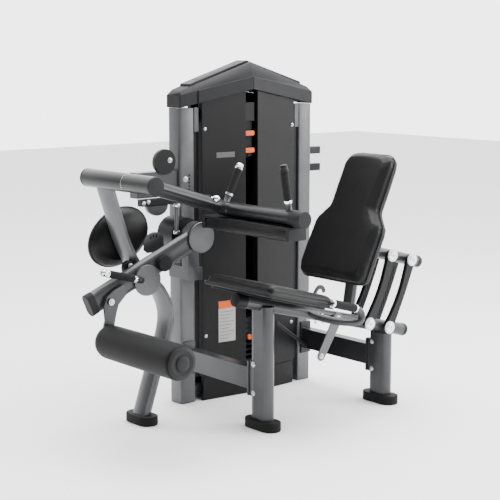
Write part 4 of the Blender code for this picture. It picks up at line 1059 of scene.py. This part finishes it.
def build_bench_trim():
    for name, x, side in (("rail_cap_front", -0.150, -1), ("rail_cap_rear", 0.840, 1)):
        start = (RAIL_RADIUS + 0.0016, -0.050) if side < 0 else (RAIL_RADIUS + 0.0010, -0.016)
        profile = [start, (RAIL_RADIUS + 0.0014, -0.001), (RAIL_RADIUS, 0.0025),
                   (RAIL_RADIUS * 0.7, 0.0040), (0.002, 0.0044)]
        axis = (math.cos(RAIL_SLOPE) * side, 0, -math.sin(RAIL_SLOPE) * side)
        lathe(name, profile, (x, 0, rail_z(x)), axis, BLACK, "frame", 44)
    # handle grips and their bright ends
    for side, label in ((-1, "near"), (1, "far")):
        y = side * 0.248
        route = smooth_path([(0.165, y, 0.556), (0.270, y, 0.5265), (0.292, y, 0.5195)], 6)
        grip = sweep(f"handle_grip_{label}", route, ellipse(0.0178, 0.0178, 32), UP, RUBBER,
                     "frame", 0.002)
        run = Vector((-0.962, 0, 0.270))
        cap = [(0.0178, -0.006), (0.0186, -0.004), (0.0186, 0.003), (0.0165, 0.006),
               (0.009, 0.0078), (0.0015, 0.008)]
        lathe(f"handle_tip_{label}", cap, (0.165, y, 0.556), run, CHROME, "frame", 36)
        ring = [(0.0158, 0.0), (0.0184, 0.001), (0.0184, 0.007), (0.0158, 0.008)]
        lathe(f"handle_ring_{label}", ring, (0.292, y, 0.5195), (0.94, 0, -0.33), CHROME,
                      "frame", 36, bored=True)
    # bolts on the side of the rail, and the hook behind the seat
    z = rail_z(0.36)
    for i, (dx, dz) in enumerate(((-0.075, 0.020), (-0.050, 0.014), (-0.030, 0.004),
                                  (-0.090, -0.012), (-0.045, -0.018))):
        bolt(f"latch_bolt_{i + 1}", (0.36 + dx, -0.0285, z + dz), NEAR, "frame", 0.0052)
    hook = smooth_path([(0.338, 0.060, 0.500), (0.345, 0.060, 0.530), (0.368, 0.060, 0.556),
                        (0.392, 0.060, 0.552), (0.402, 0.060, 0.532)], 6)
    sweep("latch_hook", hook, stadium(0.0045, 0.0095, 6), FAR, FRAME_GREY, "frame", 0.001)


def build_carriage_trim():
    x = 0.930
    pivot_z = rail_z(LINK_LOWER_X[0]) + LINK_VECTOR[1]
    pivot_x = LINK_LOWER_X[0] + LINK_VECTOR[0]
    z = pivot_z - (x - pivot_x) * math.tan(RAIL_SLOPE)
    c, s = math.cos(RAIL_SLOPE), math.sin(RAIL_SLOPE)
    profile = [(0.0270, -0.018), (0.0276, -0.001), (0.0255, 0.003), (0.018, 0.0044),
               (0.002, 0.0048)]
    lathe("carriage_cap", profile, (x, 0, z), (c, 0, -s), BLACK, "back", 40)
    # release lever eye and pivot
    run = Vector((math.cos(math.radians(238.2)), 0, math.sin(math.radians(238.2))))
    for name, share, radius in (("lever_pivot", 0.0, 0.0095), ("lever_eye_ring", 1.0, 0.0085)):
        place = (0.392 + run.x * 0.183 * share, -0.0425, rail_z(0.392) + run.z * 0.183 * share)
        bolt(name, place, NEAR, BODY_OF["back_release_lever"], radius)


# ---------------------------------------------------------------- skins over the remaining steel
def dress_frame():
    skins = ((FRAME_GREY, 0.0016, "base_beam top_beam pulley_bracket seat_rail arm_bracket pivot_housing "
              "roller_link adjuster_disc front_post rear_post seat_handle_near seat_handle_far"),
             (FRAME_LIGHT, 0.0020, "left_upright right_upright back_release_lever front_leg"),
             (FRAME_GREY, 0.0012, "lever_arm back_carriage"),
             (FRAME_GREY, 0.0030, "front_floor_beam"),
             (FRAME_DARK, 0.0030, "rear_floor_beam diagonal_brace"),
             (CAP_GREY, 0.0020, "pulley_cover"),
             (BLACK, 0.0020, "accessory_bracket"),
             (SHROUD, 0.0010, "shroud_left shroud_right shroud_rear"),
             (SHROUD, 0.0040, "base_skirt"),
             (BLACK, 0.0015, "seat_board top_pulley cam_cover counterbalance_cover arm_knob start_handle"),
             (RUBBER, 0.0040, "front_foot rear_foot leg_foot"),
             (CHROME, 0.0010, "guide_rod_left guide_rod_right roller_axle drive_cam"),
             (CABLE, 0.0, "stack_cable"),
             (ORANGE, 0.0015, "selector_pin addon_selector_upper addon_selector_lower"))
    for material, bevel, nodes in skins:
        for node in nodes.split():
            refined(node, material, bevel)
    for side, z in (("upper", "addon_selector_upper"), ("lower", "addon_selector_lower")):
        low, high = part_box(z)
        low, high = low - ORIGIN, high - ORIGIN
        weight = slab(f"addon_weight_{side}", (TOWER_X - 0.030, TOWER_X - 0.004),
                      (high.y + 0.0005, high.y + 0.010), (low.z - 0.020, low.z - 0.004), CAP_GREY,
                      BODY_OF[z], 0.002)


def build_dish_trim():
    """Rolled rim of the oval cover, with the black knuckle and bolt beside it."""
    c, s = math.cos(DISH_TILT), math.sin(DISH_TILT)
    path = [at(DISH[0] + a * c - b * s, 0.4935, DISH[1] + a * s + b * c) for a,
            b in ellipse(0.1555, 0.1165, 64)]
    bm = bmesh.new()
    rings = []
    for i, point in enumerate(path):
        along = (path[(i + 1) % 64] - path[i - 1]).normalized()
        out = along.cross(Vector(FAR)).normalized()
        rings.append([bm.verts.new(point + out * 0.0024 * u + Vector((0, 0.0075 * v, 0)))
                      for u, v in ellipse(1, 1, 10)])
    bridge(bm, rings, closed=True)
    publish("dish_rim", bm, CAP_GREY, "frame")
    knuckle = [(0.030, 0.0), (0.030, 0.020), (0.027, 0.024), (0.010, 0.026), (0.002, 0.026)]
    lathe("dish_knuckle", knuckle, (-0.430, 0.372, 0.690), NEAR, BLACK, "frame", 36)
    bolt("dish_bolt", (-0.430, 0.346, 0.700), NEAR, "frame", 0.0090)


build_stage()
build_stack()
build_roof()
build_panels()
build_upright_fasteners()
build_pulley_guards()
build_stop_rod()
dress_frame()
build_dish_trim()
build_seat()
build_bench_trim()
build_links()
build_carriage_trim()
build_backrest()
build_arm_trim()
build_start_handle()
build_roller()
build_thigh_arm()
build_thigh_pad()
